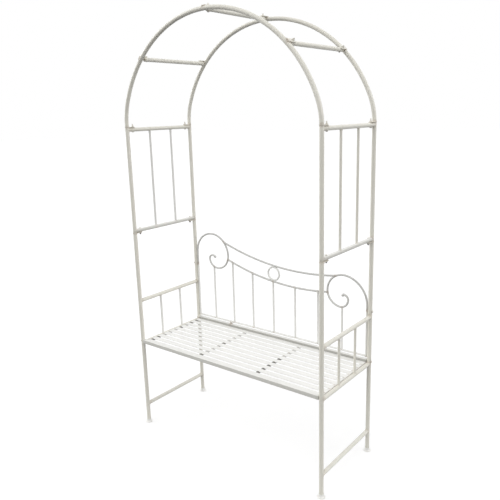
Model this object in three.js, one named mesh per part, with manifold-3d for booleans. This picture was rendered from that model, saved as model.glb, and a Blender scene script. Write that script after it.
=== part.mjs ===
// Arbour seat of welded and bolted steel tube: a two-seat garden bench under a trellis-sided arch.
// Lengths are millimetres and +Z is up. X runs along the seat, with left at -X. The open front faces -Y.
import * as THREE from "three";
import { mergeVertices } from "three/addons/utils/BufferGeometryUtils.js";
import Module from "manifold-3d";

const wasm = await Module();
wasm.setup();

// Overall frame
const postSpan = 1094; // between post centres along X
const postDepth = 435.4; // between post centres along Y
const legHeight = 1057.2; // floor to the joint between legs and trellis panels
const trellisHeight = 521; // one trellis panel from joint to joint
const archRiseShare = 0.8634; // of half the post span, from the hoops' plain ends to the crown
const seatHeight = 473; // floor to the centre of the square seat rails

// Stock
const tubeDiameter = 19; // trellis posts, rails, hoops and crossbars
const legDiameter = 20;
const barDiameter = 11.5; // upright bars of the trellis panels and the arms
const rodDiameter = 10; // the seat back
const clearance = 0.3; // between pieces that touch
const weldSink = 0.5; // how far fused pieces run into each other
const weldTolerance = 0.0005; // points closer than this are one point

// Joint plates and fasteners
const plate = { thickness: 3, width: 20, boltReach: 35 }; // reach from the post centre to the bolt
const bolt = { diameter: 6, headDiameter: 12, headHeight: 3.6, nutDiameter: 11.5, nutHeight: 5 };
const upperJointTail = 9; // thread that stands past the nut
const lowerJointTail = 4.5;
const crossbarTail = 5;
const seatBoltLength = 46;
const threadChamfer = 1; // at the end of a bolt

// Feet
const foot = { height: 21, rimDiameter: 35, rimHeight: 3, neckDiameter: 25, floor: 4 };

// Side frames
const stretcherHeight = 109;
const sideRailDrop = 10; // from the square seat rails down to the round side rails
const armRise = 223; // from the square seat rails up to the arm rails
const uprightSpacing = 145.2; // between the two bars of an arm or of a trellis panel

// Arch
const hoopStraight = 2; // plain end of a hoop above its plate
const haunchShare = 0.5612; // the haunches' radius, as a share of half the post span
const archLeanShare = 0.03; // how far the arch stands to the left, as a share of the rise over its feet
const crossbarInset = 143; // from the posts' line in to a side crossbar, before the arch's lean
const crossbarPlate = { length: 46, boltInset: 27.7, overhang: 5, weldWidth: 12 };
const crossbarEndGap = 9; // from a hoop's side to a crossbar's end

// Seat
const seatRail = { side: 19, cornerRadius: 2 };
const slat = { width: 29, pitch: 42.4, thickness: 3, topDrop: 1 };
const slatCount = 10;
const bearer = { width: 10, depth: 6 };
const bearerCount = 4;

// Seat back, in the shape that it has before its slope. Rises start at the bottom rod.
const backRodRise = 24; // from the seat rail to the bottom rod
const backSlopeShare = 0.127; // how much lower the back gets along X, as a share of the run
const stileInset = 16; // from a back post's centre to the stile beside it
// A scroll goes on from the top of its stile in five turns, of which these are the radii.
const leftScroll = { rise: 308.8, shoulder: 128.8, crest: 96.8, inner: 91.6, base: 42.7, curl: 24 };
const rightScroll = { rise: 319.5, shoulder: 112, crest: 99.5, inner: 64.6, base: 48.1, curl: 18.1 };
const curlTurnShare = 0.75; // the part of a half turn that the end of a scroll makes
const studRise = { left: 306.5, right: 227.5 };
// The two rails rise this far at the middle. The shares say how far along a turn they meet each scroll.
const upperRail = { rise: 367.3, leftShare: 0.49, rightShare: 0.35 }; // along the crest
const lowerRail = { rise: 281.3, leftShare: 0.155, rightShare: 0.1 }; // along the inner turn
const ringSink = 1.5; // how far the ring between the rails runs into each
const endBayWidth = 126; // from a stile to the outermost baluster
const balusterShift = 4.5; // how far the balusters stand to the left of their even places
const balusterCount = 7;
const clipInset = 229; // from a stile to the clip beside it
const clipDiameter = 12;

// Facets
const tubeSides = 16;
const thinSides = 10;
const boltSides = 8;
const footSides = 16;
const nutSides = 6;
const steps = {
  haunch: 6,
  crown: 18,
  scroll: { shoulder: 7, crest: 6, inner: 5, base: 5, curl: 6 },
  rail: 12,
  ring: 16,
  dome: 2,
  flare: 4,
  plateEnd: 8,
  corner: 3,
};

// Places that follow from the sizes above
const halfSpan = postSpan / 2;
const halfDepth = postDepth / 2;
const archRise = archRiseShare * halfSpan;
const haunchRadius = haunchShare * halfSpan;
const tubeRadius = tubeDiameter / 2;
const legRadius = legDiameter / 2;
const barRadius = barDiameter / 2;
const rodRadius = rodDiameter / 2;
const boltRadius = bolt.diameter / 2;
const trellisBase = legHeight + clearance;
const trellisTop = trellisBase + trellisHeight;
const hoopBase = trellisTop + clearance;
const springHeight = hoopBase + plate.thickness + hoopStraight;
const sideRailHeight = seatHeight - sideRailDrop;
const armHeight = seatHeight + armRise;
const backRodHeight = seatHeight + backRodRise;
const boltY = halfDepth - plate.boltReach;
const crossbarOffset = halfSpan - crossbarInset;
const stileX = halfSpan - stileInset;
const clipOffset = stileX - clipInset;
const balusterPitch = (stileX - endBayWidth) / ((balusterCount - 1) / 2);
const along = new THREE.Vector3(0, 1, 0);
const scrolls = { left: leftScroll, right: rightScroll };
const sides = [["left", -1], ["right", 1]];
const ends = [["front", -1], ["back", 1]];

const paint = new THREE.MeshStandardMaterial({ color: 0xe4dfd0, roughness: 0.55, metalness: 0.1 });
const slatPaint = new THREE.MeshStandardMaterial({ color: 0xebe7da, roughness: 0.5, metalness: 0.1 });
const fastenerPaint = new THREE.MeshStandardMaterial({ color: 0xb9ac95, roughness: 0.5, metalness: 0.4 });
const capPaint = new THREE.MeshStandardMaterial({ color: 0xddd6c4, roughness: 0.65, metalness: 0.0 });

// Conversions between three.js geometry and solids that can be cut and joined

function toSolid(geometry) {
  const loose = geometry.index ? geometry.toNonIndexed() : geometry;
  const bare = new THREE.BufferGeometry();
  bare.setAttribute("position", loose.getAttribute("position"));
  const merged = mergeVertices(bare, weldTolerance);
  const vertProperties = merged.attributes.position.array;
  const triVerts = new Uint32Array(merged.index.array);
  return new wasm.Manifold(new wasm.Mesh({ numProp: 3, vertProperties, triVerts }));
}

function toGeometry(solid) {
  const mesh = solid.getMesh();
  const geometry = new THREE.BufferGeometry();
  geometry.setAttribute("position", new THREE.BufferAttribute(mesh.vertProperties, 3));
  geometry.setIndex(new THREE.BufferAttribute(mesh.triVerts, 1));
  geometry.computeVertexNormals();
  return geometry;
}

function cut(solid, ...tools) {
  return tools.reduce((rest, tool) => rest.subtract(tool), solid);
}

function join(...solids) {
  return solids.reduce((whole, solid) => whole.add(solid));
}

function named(name, solid, material = paint) {
  const mesh = new THREE.Mesh(toGeometry(solid), material);
  mesh.name = name;
  return mesh;
}

// A round bar of the given radius from one point to another.
function bar(start, end, radius, sides = tubeSides) {
  const axis = new THREE.Vector3().subVectors(end, start);
  const geometry = new THREE.CylinderGeometry(radius, radius, axis.length(), sides);
  const middle = new THREE.Vector3().addVectors(start, end).divideScalar(2);
  geometry.applyQuaternion(new THREE.Quaternion().setFromUnitVectors(along, axis.normalize()));
  geometry.translate(middle.x, middle.y, middle.z);
  return toSolid(geometry);
}

function upright(x, y, low, high, radius, sides = tubeSides) {
  return bar(new THREE.Vector3(x, y, low), new THREE.Vector3(x, y, high), radius, sides);
}

function lengthwise(y, z, from, to, radius, sides = tubeSides) {
  return bar(new THREE.Vector3(from, y, z), new THREE.Vector3(to, y, z), radius, sides);
}

function crosswise(x, z, from, to, radius, sides = tubeSides) {
  return bar(new THREE.Vector3(x, from, z), new THREE.Vector3(x, to, z), radius, sides);
}

function block(from, to) {
  const size = new THREE.Vector3().subVectors(to, from);
  const middle = new THREE.Vector3().addVectors(from, to).divideScalar(2);
  const geometry = new THREE.BoxGeometry(size.x, size.y, size.z);
  geometry.translate(middle.x, middle.y, middle.z);
  return toSolid(geometry);
}

// An arc in an upright plane that runs along X. Angles start at +X and turn towards +Z.
class UprightArc extends THREE.Curve {
  constructor(centreX, centreZ, radius, startAngle, endAngle) {
    super();
    Object.assign(this, { centreX, centreZ, radius, startAngle, endAngle });
  }

  getPoint(t, target = new THREE.Vector3()) {
    const angle = THREE.MathUtils.lerp(this.startAngle, this.endAngle, t);
    const x = this.centreX + this.radius * Math.cos(angle);
    return target.set(x, 0, this.centreZ + this.radius * Math.sin(angle));
  }

  // The height over a place along X, on the side of the centre where the arc runs.
  heightAt(x) {
    const side = Math.sign(Math.sin((this.startAngle + this.endAngle) / 2));
    return this.centreZ + side * Math.sqrt(this.radius ** 2 - (x - this.centreX) ** 2);
  }
}

// The arc from one point over a second to a third, all in an upright plane.
function arcThrough(first, second, third) {
  const near = new THREE.Vector3().subVectors(second, first);
  const far = new THREE.Vector3().subVectors(third, first);
  const spread = 2 * (near.x * far.z - near.z * far.x);
  const centreX = first.x + (far.z * near.lengthSq() - near.z * far.lengthSq()) / spread;
  const centreZ = first.z + (near.x * far.lengthSq() - far.x * near.lengthSq()) / spread;
  const [from, to] = [first, third].map(({ x, z }) => Math.atan2(z - centreZ, x - centreX));
  return new UprightArc(centreX, centreZ, Math.hypot(first.x - centreX, first.z - centreZ), from, to);
}

// A path of joined curves, each with its own number of steps, so that tight turns get short ones.
class SteppedPath extends THREE.Curve {
  constructor(pieces, bend = (point) => point) {
    super();
    this.pieces = pieces;
    this.bend = bend;
    this.steps = pieces.reduce((sum, piece) => sum + piece.steps, 0);
  }

  getPoint(t, target = new THREE.Vector3()) {
    let place = t * this.steps;
    let index = 0;
    while (index < this.pieces.length - 1 && place > this.pieces[index].steps) {
      place -= this.pieces[index].steps;
      index += 1;
    }
    const piece = this.pieces[index];
    return this.bend(piece.curve.getPoint(Math.min(place / piece.steps, 1), target));
  }

  getPointAt(u, target) {
    return this.getPoint(u, target);
  }

  getUtoTmapping(u) {
    return u;
  }
}

function straight(from, to) {
  return { curve: new THREE.LineCurve3(from, to), steps: 1 };
}

function sweep(path, radius, sides) {
  const section = new THREE.Shape();
  for (let side = 0; side < sides; side += 1) {
    const angle = (side / sides) * 2 * Math.PI;
    const point = [radius * Math.cos(angle), radius * Math.sin(angle)];
    if (side === 0) section.moveTo(...point);
    else section.lineTo(...point);
  }
  return toSolid(new THREE.ExtrudeGeometry(section, { steps: path.steps, extrudePath: path }));
}

// Fasteners

// A bolt along +Z with its dome head under z = 0. The grip is what lies between head and nut.
function makeBolt(grip, tail, hasNut = true) {
  const end = grip + (hasNut ? bolt.nutHeight + tail : 0);
  const headRadius = bolt.headDiameter / 2;
  const profile = [];
  for (let step = 0; step <= steps.dome; step += 1) {
    const angle = (step / steps.dome) * (Math.PI / 2);
    profile.push(new THREE.Vector2(headRadius * Math.sin(angle), -bolt.headHeight * Math.cos(angle)));
  }
  profile.push(new THREE.Vector2(boltRadius, 0));
  profile.push(new THREE.Vector2(boltRadius, end - threadChamfer));
  profile.push(new THREE.Vector2(boltRadius - threadChamfer, end));
  profile.push(new THREE.Vector2(0, end));
  const turned = new THREE.LatheGeometry(profile, boltSides);
  turned.rotateX(Math.PI / 2);
  const pin = toSolid(turned);
  if (!hasNut) return pin;
  return join(pin, upright(0, 0, grip, grip + bolt.nutHeight, bolt.nutDiameter / 2, nutSides));
}

const jointGrip = tubeDiameter + plate.thickness + clearance * 3;

// Parts that a side of the seat is made of, placed from the middle of that side

function makeLeg(boreHeights) {
  const bottom = foot.floor + clearance;
  const tube = upright(0, 0, bottom, legHeight - plate.thickness + weldSink, legRadius);
  const bores = boreHeights.map((height) =>
    lengthwise(0, height, -legDiameter, legDiameter, boltRadius + clearance, boltSides),
  );
  return cut(join(tube, jointPlate(legHeight - plate.thickness)), ...bores);
}

// The flat plate that closes a tube's end and reaches along +Y under or over the next rail.
function jointPlate(base) {
  const outline = new THREE.Shape();
  const endRadius = plate.width / 2;
  outline.absarc(0, 0, endRadius, Math.PI, 2 * Math.PI);
  outline.absarc(0, plate.boltReach, endRadius, 0, Math.PI);
  const hole = new THREE.Path();
  hole.absarc(0, plate.boltReach, boltRadius + clearance, 0, 2 * Math.PI, true);
  outline.holes.push(hole);
  const geometry = new THREE.ExtrudeGeometry(outline, {
    depth: plate.thickness,
    bevelEnabled: false,
    curveSegments: steps.plateEnd,
  });
  geometry.translate(0, 0, base);
  return toSolid(geometry);
}

function makeFootCap() {
  const rim = foot.rimDiameter / 2;
  const neck = foot.neckDiameter / 2;
  const socket = legRadius + clearance;
  const profile = [new THREE.Vector2(0, 0), new THREE.Vector2(rim, 0)];
  for (let step = 0; step <= steps.flare; step += 1) {
    const angle = (step / steps.flare) * (Math.PI / 2);
    const radius = neck + (rim - neck) * (1 - Math.sin(angle));
    const height = foot.rimHeight + (foot.height - foot.rimHeight) * (1 - Math.cos(angle));
    profile.push(new THREE.Vector2(radius, height));
  }
  profile.push(new THREE.Vector2(socket, foot.height));
  profile.push(new THREE.Vector2(socket, foot.floor));
  profile.push(new THREE.Vector2(0, foot.floor));
  const turned = new THREE.LatheGeometry(profile, footSides);
  turned.rotateX(Math.PI / 2);
  return toSolid(turned);
}

// A rail along Y between the two posts of a side, coped to sit round them.
function makeSideRail(height, postRadius) {
  const rail = crosswise(0, height, -halfDepth, halfDepth, tubeRadius);
  const posts = [-halfDepth, halfDepth].map((y) =>
    upright(0, y, height - tubeDiameter, height + tubeDiameter, postRadius + clearance),
  );
  return cut(rail, ...posts);
}

// A rail with the two upright holes that its joint bolts pass through.
function makeBoredRail(height) {
  const bores = [-boltY, boltY].map((y) =>
    upright(0, y, height - tubeDiameter, height + tubeDiameter, boltRadius + clearance, boltSides),
  );
  return cut(makeSideRail(height, tubeRadius), ...bores);
}

// An upright bar between two side rails, coped at both ends.
function makeUprightBar(low, high) {
  const copes = [low, high].map((z) => crosswise(0, z, -barDiameter, barDiameter, tubeRadius + clearance));
  return cut(upright(0, 0, low, high, barRadius, thinSides), ...copes);
}

function makeSideBars(name, low, high) {
  return ends.map(([place, end]) => {
    const mesh = named(`${name}_${place}`, makeUprightBar(low, high));
    mesh.position.y = (end * uprightSpacing) / 2;
    return mesh;
  });
}

function makeLegFrame(sideName, sign) {
  const group = new THREE.Group();
  const studHeight = backRodHeight + studRise[sideName];
  for (const [place, end] of ends) {
    const heights = end < 0 ? [seatHeight] : [seatHeight, studHeight];
    const leg = named(`leg_${place}_${sideName}`, makeLeg(heights));
    const cap = named(`foot_cap_${place}_${sideName}`, makeFootCap(), capPaint);
    leg.position.y = end * halfDepth;
    leg.rotation.z = end < 0 ? 0 : Math.PI;
    cap.position.y = end * halfDepth;
    const seatBoltSolid = makeBolt(seatBoltLength, 0, false);
    const seatBolt = named(`seat_bolt_${place}_${sideName}`, seatBoltSolid, fastenerPaint);
    seatBolt.position.set(sign * (legRadius + clearance), end * halfDepth, seatHeight);
    seatBolt.rotation.y = (-sign * Math.PI) / 2;
    const seamSolid = makeBolt(jointGrip, lowerJointTail);
    const seam = named(`lower_joint_bolt_${place}_${sideName}`, seamSolid, fastenerPaint);
    seam.position.set(0, end * boltY, trellisBase + tubeDiameter + clearance);
    seam.rotation.x = Math.PI;
    group.add(leg, cap, seatBolt, seam);
  }
  group.add(named(`low_stretcher_${sideName}`, makeSideRail(stretcherHeight, legRadius)));
  group.add(named(`seat_side_rail_${sideName}`, makeSideRail(sideRailHeight, legRadius)));
  group.add(named(`arm_rail_${sideName}`, makeSideRail(armHeight, legRadius)));
  group.add(...makeSideBars(`arm_bar_${sideName}`, sideRailHeight, armHeight));
  group.position.x = sign * halfSpan;
  return group;
}

function makeTrellisPanel(sideName, sign) {
  const group = new THREE.Group();
  const lowRail = trellisBase + tubeRadius;
  const highRail = trellisTop - tubeRadius;
  for (const [place, end] of ends) {
    const postSolid = upright(0, 0, trellisBase, trellisTop, tubeRadius);
    const post = named(`trellis_post_${place}_${sideName}`, postSolid);
    post.position.y = end * halfDepth;
    const seamSolid = makeBolt(jointGrip, upperJointTail);
    const seam = named(`upper_joint_bolt_${place}_${sideName}`, seamSolid, fastenerPaint);
    seam.position.set(0, end * boltY, trellisTop - tubeDiameter - clearance);
    group.add(post, seam);
  }
  group.add(named(`trellis_bottom_rail_${sideName}`, makeBoredRail(lowRail)));
  group.add(named(`trellis_top_rail_${sideName}`, makeBoredRail(highRail)));
  group.add(...makeSideBars(`trellis_bar_${sideName}`, lowRail, highRail));
  group.position.x = sign * halfSpan;
  return group;
}

// Arch

// Two haunch arcs that leave the posts upright and a flatter crown arc that meets them smoothly.
function archForm() {
  const haunchX = halfSpan - haunchRadius;
  const crownRadius =
    (halfSpan ** 2 + archRise ** 2 - 2 * halfSpan * haunchRadius) / (2 * (archRise - haunchRadius));
  const crownZ = springHeight + archRise - crownRadius;
  const meeting = Math.atan2(springHeight - crownZ, haunchX);
  return { haunchX, crownRadius, crownZ, meeting };
}

// Moves a point of the arch to the left, more so the higher it is.
function leaned(point) {
  return point.setX(point.x - archLeanShare * (point.z - hoopBase));
}

function hoopPath() {
  const { haunchX, crownRadius, crownZ, meeting } = archForm();
  const foothold = hoopBase + plate.thickness - weldSink;
  const [left, right] = [-halfSpan, halfSpan].map((x) => [
    new THREE.Vector3(x, 0, foothold),
    new THREE.Vector3(x, 0, springHeight),
  ]);
  const rising = new UprightArc(-haunchX, springHeight, haunchRadius, Math.PI, Math.PI - meeting);
  const crown = new UprightArc(0, crownZ, crownRadius, Math.PI - meeting, meeting);
  const falling = new UprightArc(haunchX, springHeight, haunchRadius, meeting, 0);
  const pieces = [
    straight(...left),
    { curve: rising, steps: steps.haunch },
    { curve: crown, steps: steps.crown },
    { curve: falling, steps: steps.haunch },
    straight(...right.reverse()),
  ];
  return new SteppedPath(pieces, leaned);
}

// The place of a crossbar on the arch and the angle that turns its outer side away from the arch.
function crossbarPlace(offset) {
  const { crownRadius, crownZ } = archForm();
  const fromTop = Math.asin(offset / crownRadius);
  const { x, z } = leaned(new THREE.Vector3(offset, 0, crownZ + crownRadius * Math.cos(fromTop)));
  const turn = Math.atan2(Math.sin(fromTop), Math.cos(fromTop) + archLeanShare * Math.sin(fromTop));
  return { x, z, turn };
}

// The plate that a hoop reaches over a crossbar's end, with the weld that carries it.
function crossbarHoldingPlate(offset) {
  const low = tubeRadius + clearance;
  const half = plate.width / 2;
  const outer = -crossbarPlate.overhang;
  const inner = outer + crossbarPlate.length;
  const sheet = block(
    new THREE.Vector3(-half, outer, low),
    new THREE.Vector3(half, inner, low + plate.thickness),
  );
  const bead = block(
    new THREE.Vector3(-crossbarPlate.weldWidth / 2, outer, tubeRadius / 2),
    new THREE.Vector3(crossbarPlate.weldWidth / 2, tubeRadius / 2, low + weldSink),
  );
  const reach = tubeRadius + plate.thickness * 2;
  const bore = upright(0, crossbarPlate.boltInset, 0, reach, boltRadius + clearance, boltSides);
  const { x, z, turn } = crossbarPlace(offset);
  const degrees = THREE.MathUtils.radToDeg(turn);
  return cut(join(sheet, bead), bore).rotate([0, degrees, 0]).translate([x, 0, z]);
}

// The front hoop. The back one is its mirror image.
function makeHoop() {
  const tube = sweep(hoopPath(), tubeRadius, tubeSides);
  const feet = [-halfSpan, halfSpan].map((x) => jointPlate(hoopBase).translate([x, 0, 0]));
  const plates = [-crossbarOffset, 0, crossbarOffset].map(crossbarHoldingPlate);
  return join(tube, ...feet, ...plates);
}

function makeCrossbar() {
  const half = halfDepth - tubeRadius - crossbarEndGap;
  const boltPlace = halfDepth - crossbarPlate.boltInset;
  const bores = [-boltPlace, boltPlace].map((y) =>
    upright(0, y, -tubeDiameter, tubeDiameter, boltRadius + clearance, boltSides),
  );
  return cut(crosswise(0, 0, -half, half, tubeRadius), ...bores);
}

function makeArch() {
  const group = new THREE.Group();
  for (const [place, end] of ends) {
    const solid = makeHoop();
    const hoop = named(`hoop_${place}`, end < 0 ? solid : solid.mirror([0, 1, 0]));
    hoop.position.y = end * halfDepth;
    group.add(hoop);
  }
  for (const [place, offset] of [["left", -crossbarOffset], ["crown", 0], ["right", crossbarOffset]]) {
    const { x, z, turn } = crossbarPlace(offset);
    const set = new THREE.Group();
    set.add(named(`crossbar_${place}`, makeCrossbar()));
    for (const [row, end] of ends) {
      const pinSolid = makeBolt(jointGrip, crossbarTail);
      const pin = named(`crossbar_bolt_${place}_${row}`, pinSolid, fastenerPaint);
      pin.position.set(0, end * (halfDepth - crossbarPlate.boltInset), -tubeRadius - clearance);
      set.add(pin);
    }
    set.position.set(x, 0, z);
    set.rotation.y = turn;
    group.add(set);
  }
  return group;
}

// Seat

// A square rail along X from post to post, with a bore in each end for the bolt through that post.
function makeSeatRail() {
  const reach = halfSpan - legRadius - clearance;
  const half = seatRail.side / 2;
  const flat = half - seatRail.cornerRadius;
  const section = new THREE.Shape();
  section.absarc(flat, flat, seatRail.cornerRadius, 0, Math.PI / 2);
  section.absarc(-flat, flat, seatRail.cornerRadius, Math.PI / 2, Math.PI);
  section.absarc(-flat, -flat, seatRail.cornerRadius, Math.PI, Math.PI * 1.5);
  section.absarc(flat, -flat, seatRail.cornerRadius, Math.PI * 1.5, Math.PI * 2);
  const geometry = new THREE.ExtrudeGeometry(section, {
    depth: reach * 2,
    bevelEnabled: false,
    curveSegments: steps.corner,
  });
  geometry.translate(0, 0, -reach);
  geometry.rotateY(Math.PI / 2);
  const boltEnd = halfSpan + legRadius - seatBoltLength;
  const bores = [-1, 1].map((sign) =>
    lengthwise(0, 0, sign * boltEnd, sign * halfSpan, boltRadius + clearance, boltSides),
  );
  return cut(toSolid(geometry), ...bores);
}

// The slats and the bearers under them, welded into one grille.
function makeGrille() {
  const endX = halfSpan - tubeRadius - clearance;
  const frontY = halfDepth - seatRail.side / 2 - clearance;
  const slatTop = seatHeight - slat.topDrop;
  const slatBottom = slatTop - slat.thickness;
  const slats = [];
  for (let index = 0; index < slatCount; index += 1) {
    const y = (index - (slatCount - 1) / 2) * slat.pitch;
    const near = new THREE.Vector3(-endX, y - slat.width / 2, slatBottom);
    slats.push(block(near, new THREE.Vector3(endX, y + slat.width / 2, slatTop)));
  }
  const bearerTop = slatBottom + weldSink;
  const firstX = -endX + bearer.width / 2;
  const bearers = [];
  for (let index = 0; index < bearerCount; index += 1) {
    const x = THREE.MathUtils.lerp(firstX, -firstX, index / (bearerCount - 1));
    const near = new THREE.Vector3(x - bearer.width / 2, -frontY, bearerTop - bearer.depth);
    bearers.push(block(near, new THREE.Vector3(x + bearer.width / 2, frontY, bearerTop)));
  }
  return join(...bearers, ...slats);
}

function makeSeat() {
  const group = new THREE.Group();
  for (const [place, end] of ends) {
    const rail = makeSeatRail();
    const clips = [-clipOffset, clipOffset].map((x) =>
      upright(x, 0, -seatRail.side, seatRail.side, boltRadius + clearance, boltSides),
    );
    const mesh = named(`seat_rail_${place}`, end < 0 ? rail : cut(rail, ...clips));
    mesh.position.set(0, end * halfDepth, seatHeight);
    group.add(mesh);
  }
  group.add(named("seat_slat_grille", makeGrille(), slatPaint));
  return group;
}

// Seat back. What stands on its level bottom rod slopes down to the right.

function sloped(point) {
  return point.setZ(point.z - backSlopeShare * point.x);
}

// The turns of a scroll by name: quarter turns and then the curl, each from where the last one ends.
function scrollTurns(sideName, sign) {
  let tip = new THREE.Vector3(stileX, 0, backRodHeight + scrolls[sideName].rise);
  const turns = Object.keys(steps.scroll).map((turn, index) => {
    const radius = scrolls[sideName][turn];
    const start = (index * Math.PI) / 2;
    const last = start + (turn === "curl" ? curlTurnShare * Math.PI : Math.PI / 2);
    const centreX = tip.x - radius * Math.cos(start);
    const centreZ = tip.z - radius * Math.sin(start);
    tip = new THREE.Vector3(centreX + radius * Math.cos(last), 0, centreZ + radius * Math.sin(last));
    const [from, to] = sign > 0 ? [start, last] : [Math.PI - start, Math.PI - last];
    return [turn, new UprightArc(sign * centreX, centreZ, radius, from, to)];
  });
  return Object.fromEntries(turns);
}

// A stile that rises beside the post and rolls inwards into a scroll.
function stilePath(sideName, sign) {
  const foothold = backRodHeight - rodRadius + backSlopeShare * sign * stileX;
  const bottom = new THREE.Vector3(sign * stileX, 0, foothold);
  const top = new THREE.Vector3(sign * stileX, 0, backRodHeight + scrolls[sideName].rise);
  const turns = Object.entries(scrollTurns(sideName, sign));
  const pieces = turns.map(([turn, curve]) => ({ curve, steps: steps.scroll[turn] }));
  return new SteppedPath([straight(bottom, top), ...pieces], sloped);
}

function makeStile(sideName, sign, growth = 0) {
  return sweep(stilePath(sideName, sign), rodRadius + growth, thinSides);
}

// The stile with the stud and cap nut that hold it to the back post.
function makeBoltedStile(sideName, sign) {
  const height = backRodHeight + studRise[sideName];
  const nutStart = halfSpan + legRadius + clearance;
  const stud = lengthwise(0, height, sign * stileX, sign * (nutStart + weldSink), boltRadius, boltSides);
  const nutEnd = nutStart + bolt.nutHeight;
  const nut = lengthwise(0, height, sign * nutStart, sign * nutEnd, bolt.nutDiameter / 2, nutSides);
  return join(makeStile(sideName, sign), stud, nut);
}

function makeStiles(growth = 0) {
  return sides.map(([sideName, sign]) => makeStile(sideName, sign, growth));
}

// The centre line of a sagging rail from scroll to scroll, which meets both on the named turn.
function railArc({ rise, leftShare, rightShare }, turn) {
  const left = scrollTurns("left", -1)[turn].getPoint(leftShare);
  const right = scrollTurns("right", 1)[turn].getPoint(rightShare);
  return arcThrough(left, new THREE.Vector3(0, 0, backRodHeight + rise), right);
}

function makeRail(curve, growth = 0) {
  return sweep(new SteppedPath([{ curve, steps: steps.rail }], sloped), rodRadius + growth, thinSides);
}

// The two sagging rails with the ring that stands between them, less what the scrolls take up.
function makeBackRails() {
  const rails = join(makeRail(railArc(upperRail, "crest")), makeRail(railArc(lowerRail, "inner")));
  const ringRadius = (upperRail.rise - lowerRail.rise) / 2 - rodDiameter + ringSink;
  const ring = new THREE.TorusGeometry(ringRadius, rodRadius, thinSides, steps.ring);
  ring.rotateX(Math.PI / 2);
  ring.translate(0, 0, backRodHeight + (upperRail.rise + lowerRail.rise) / 2);
  return cut(join(rails, toSolid(ring)), ...makeStiles(clearance));
}

// Where a baluster's centre line ends, before the slope: on the lower rail, or under a scroll.
function balusterTop(x) {
  const [sideName, sign] = x < 0 ? sides[0] : sides[1];
  const { inner, base } = scrollTurns(sideName, sign);
  const lowRail = railArc(lowerRail, "inner");
  if (sign * (x - lowRail.getPoint(sign > 0 ? 1 : 0).x) < 0) return lowRail.heightAt(x);
  return (sign * (x - inner.centreX) < 0 ? inner : base).heightAt(x);
}

// A clip that stands the bottom rod on the rear seat rail, with its stud and nut.
function makeClip(x) {
  const railTop = seatHeight + seatRail.side / 2;
  const railBottom = seatHeight - seatRail.side / 2;
  const nutTop = railBottom - clearance;
  const collar = upright(x, 0, railTop + clearance, backRodHeight, clipDiameter / 2, thinSides);
  const nutBottom = nutTop - bolt.nutHeight;
  const stud = upright(x, 0, nutBottom, backRodHeight, boltRadius, boltSides);
  const nut = upright(x, 0, nutBottom, nutTop, bolt.nutDiameter / 2, nutSides);
  return join(collar, stud, nut);
}

// The bottom rod, the balusters that stand on it and its two clips.
function makeBackComb() {
  const pieces = [lengthwise(0, backRodHeight, -stileX, stileX, rodRadius, thinSides)];
  for (let index = 0; index < balusterCount; index += 1) {
    const x = (index - (balusterCount - 1) / 2) * balusterPitch - balusterShift;
    const top = sloped(new THREE.Vector3(x, 0, balusterTop(x)));
    pieces.push(upright(x, 0, backRodHeight, top.z, rodRadius, thinSides));
  }
  pieces.push(makeClip(-clipOffset), makeClip(clipOffset));
  return cut(join(...pieces), ...makeStiles(clearance), makeRail(railArc(lowerRail, "inner"), clearance));
}

function makeSeatBack() {
  const group = new THREE.Group();
  for (const [sideName, sign] of sides) {
    group.add(named(`back_stile_${sideName}`, makeBoltedStile(sideName, sign)));
  }
  group.add(named("back_rails_and_ring", makeBackRails()));
  group.add(named("back_balusters", makeBackComb()));
  group.position.y = halfDepth;
  return group;
}

const arbourSeat = new THREE.Group();
for (const [sideName, sign] of sides) {
  arbourSeat.add(makeLegFrame(sideName, sign), makeTrellisPanel(sideName, sign));
}
arbourSeat.add(makeArch(), makeSeat(), makeSeatBack());

export default arbourSeat;
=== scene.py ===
"""Arbour seat: a two-seat garden bench of welded and bolted steel tube under a trellis-sided arch.

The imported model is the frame. Each sub-assembly below builds smooth, welded and painted pieces in the
places that the frame gives. Lengths are metres and +Z is up. The seat runs along X, with left at -X, and
the open front faces -Y.
"""

import logging
import math
import re
from dataclasses import dataclass
from enum import Enum
from typing import Iterable, Sequence

import bmesh
import bpy
import numpy as np
from mathutils import Matrix, Vector


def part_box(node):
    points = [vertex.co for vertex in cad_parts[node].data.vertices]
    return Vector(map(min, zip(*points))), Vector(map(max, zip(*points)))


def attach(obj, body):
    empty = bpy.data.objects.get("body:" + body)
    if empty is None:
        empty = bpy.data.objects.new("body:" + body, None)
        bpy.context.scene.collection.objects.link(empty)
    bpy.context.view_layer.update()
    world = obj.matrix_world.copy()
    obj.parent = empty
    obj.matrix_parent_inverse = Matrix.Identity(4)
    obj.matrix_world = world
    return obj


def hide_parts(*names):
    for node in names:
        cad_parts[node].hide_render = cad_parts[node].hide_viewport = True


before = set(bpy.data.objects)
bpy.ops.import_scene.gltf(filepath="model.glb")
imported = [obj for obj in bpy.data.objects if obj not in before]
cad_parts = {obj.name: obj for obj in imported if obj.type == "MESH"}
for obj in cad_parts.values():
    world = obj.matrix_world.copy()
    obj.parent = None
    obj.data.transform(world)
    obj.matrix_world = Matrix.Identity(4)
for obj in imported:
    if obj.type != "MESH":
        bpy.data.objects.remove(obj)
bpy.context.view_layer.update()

Array = np.ndarray
Socket = bpy.types.NodeSocket
Tree = bpy.types.NodeTree
Colour = tuple[float, float, float]

BODY = "root"
JOINT_SHADE = "joint"
ALONG, INWARD, UP = np.eye(3)
TUBE_SIDES = 32
ROD_SIDES = 24
SEAM_STEPS = 40
LAP = 0.0004
TUBE_WELD = 0.0016
BAR_WELD = 0.0013
ROD_WELD = 0.0011
log = logging.getLogger("arbour_seat")


class Sign(Enum):
    """One of two places that face each other, with its sign along an axis."""

    @property
    def label(self) -> str:
        """The word that piece names use."""
        return self.name.lower()


class Side(Sign):
    """A side of the seat, with its sign along X."""

    LEFT = -1
    RIGHT = 1


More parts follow.
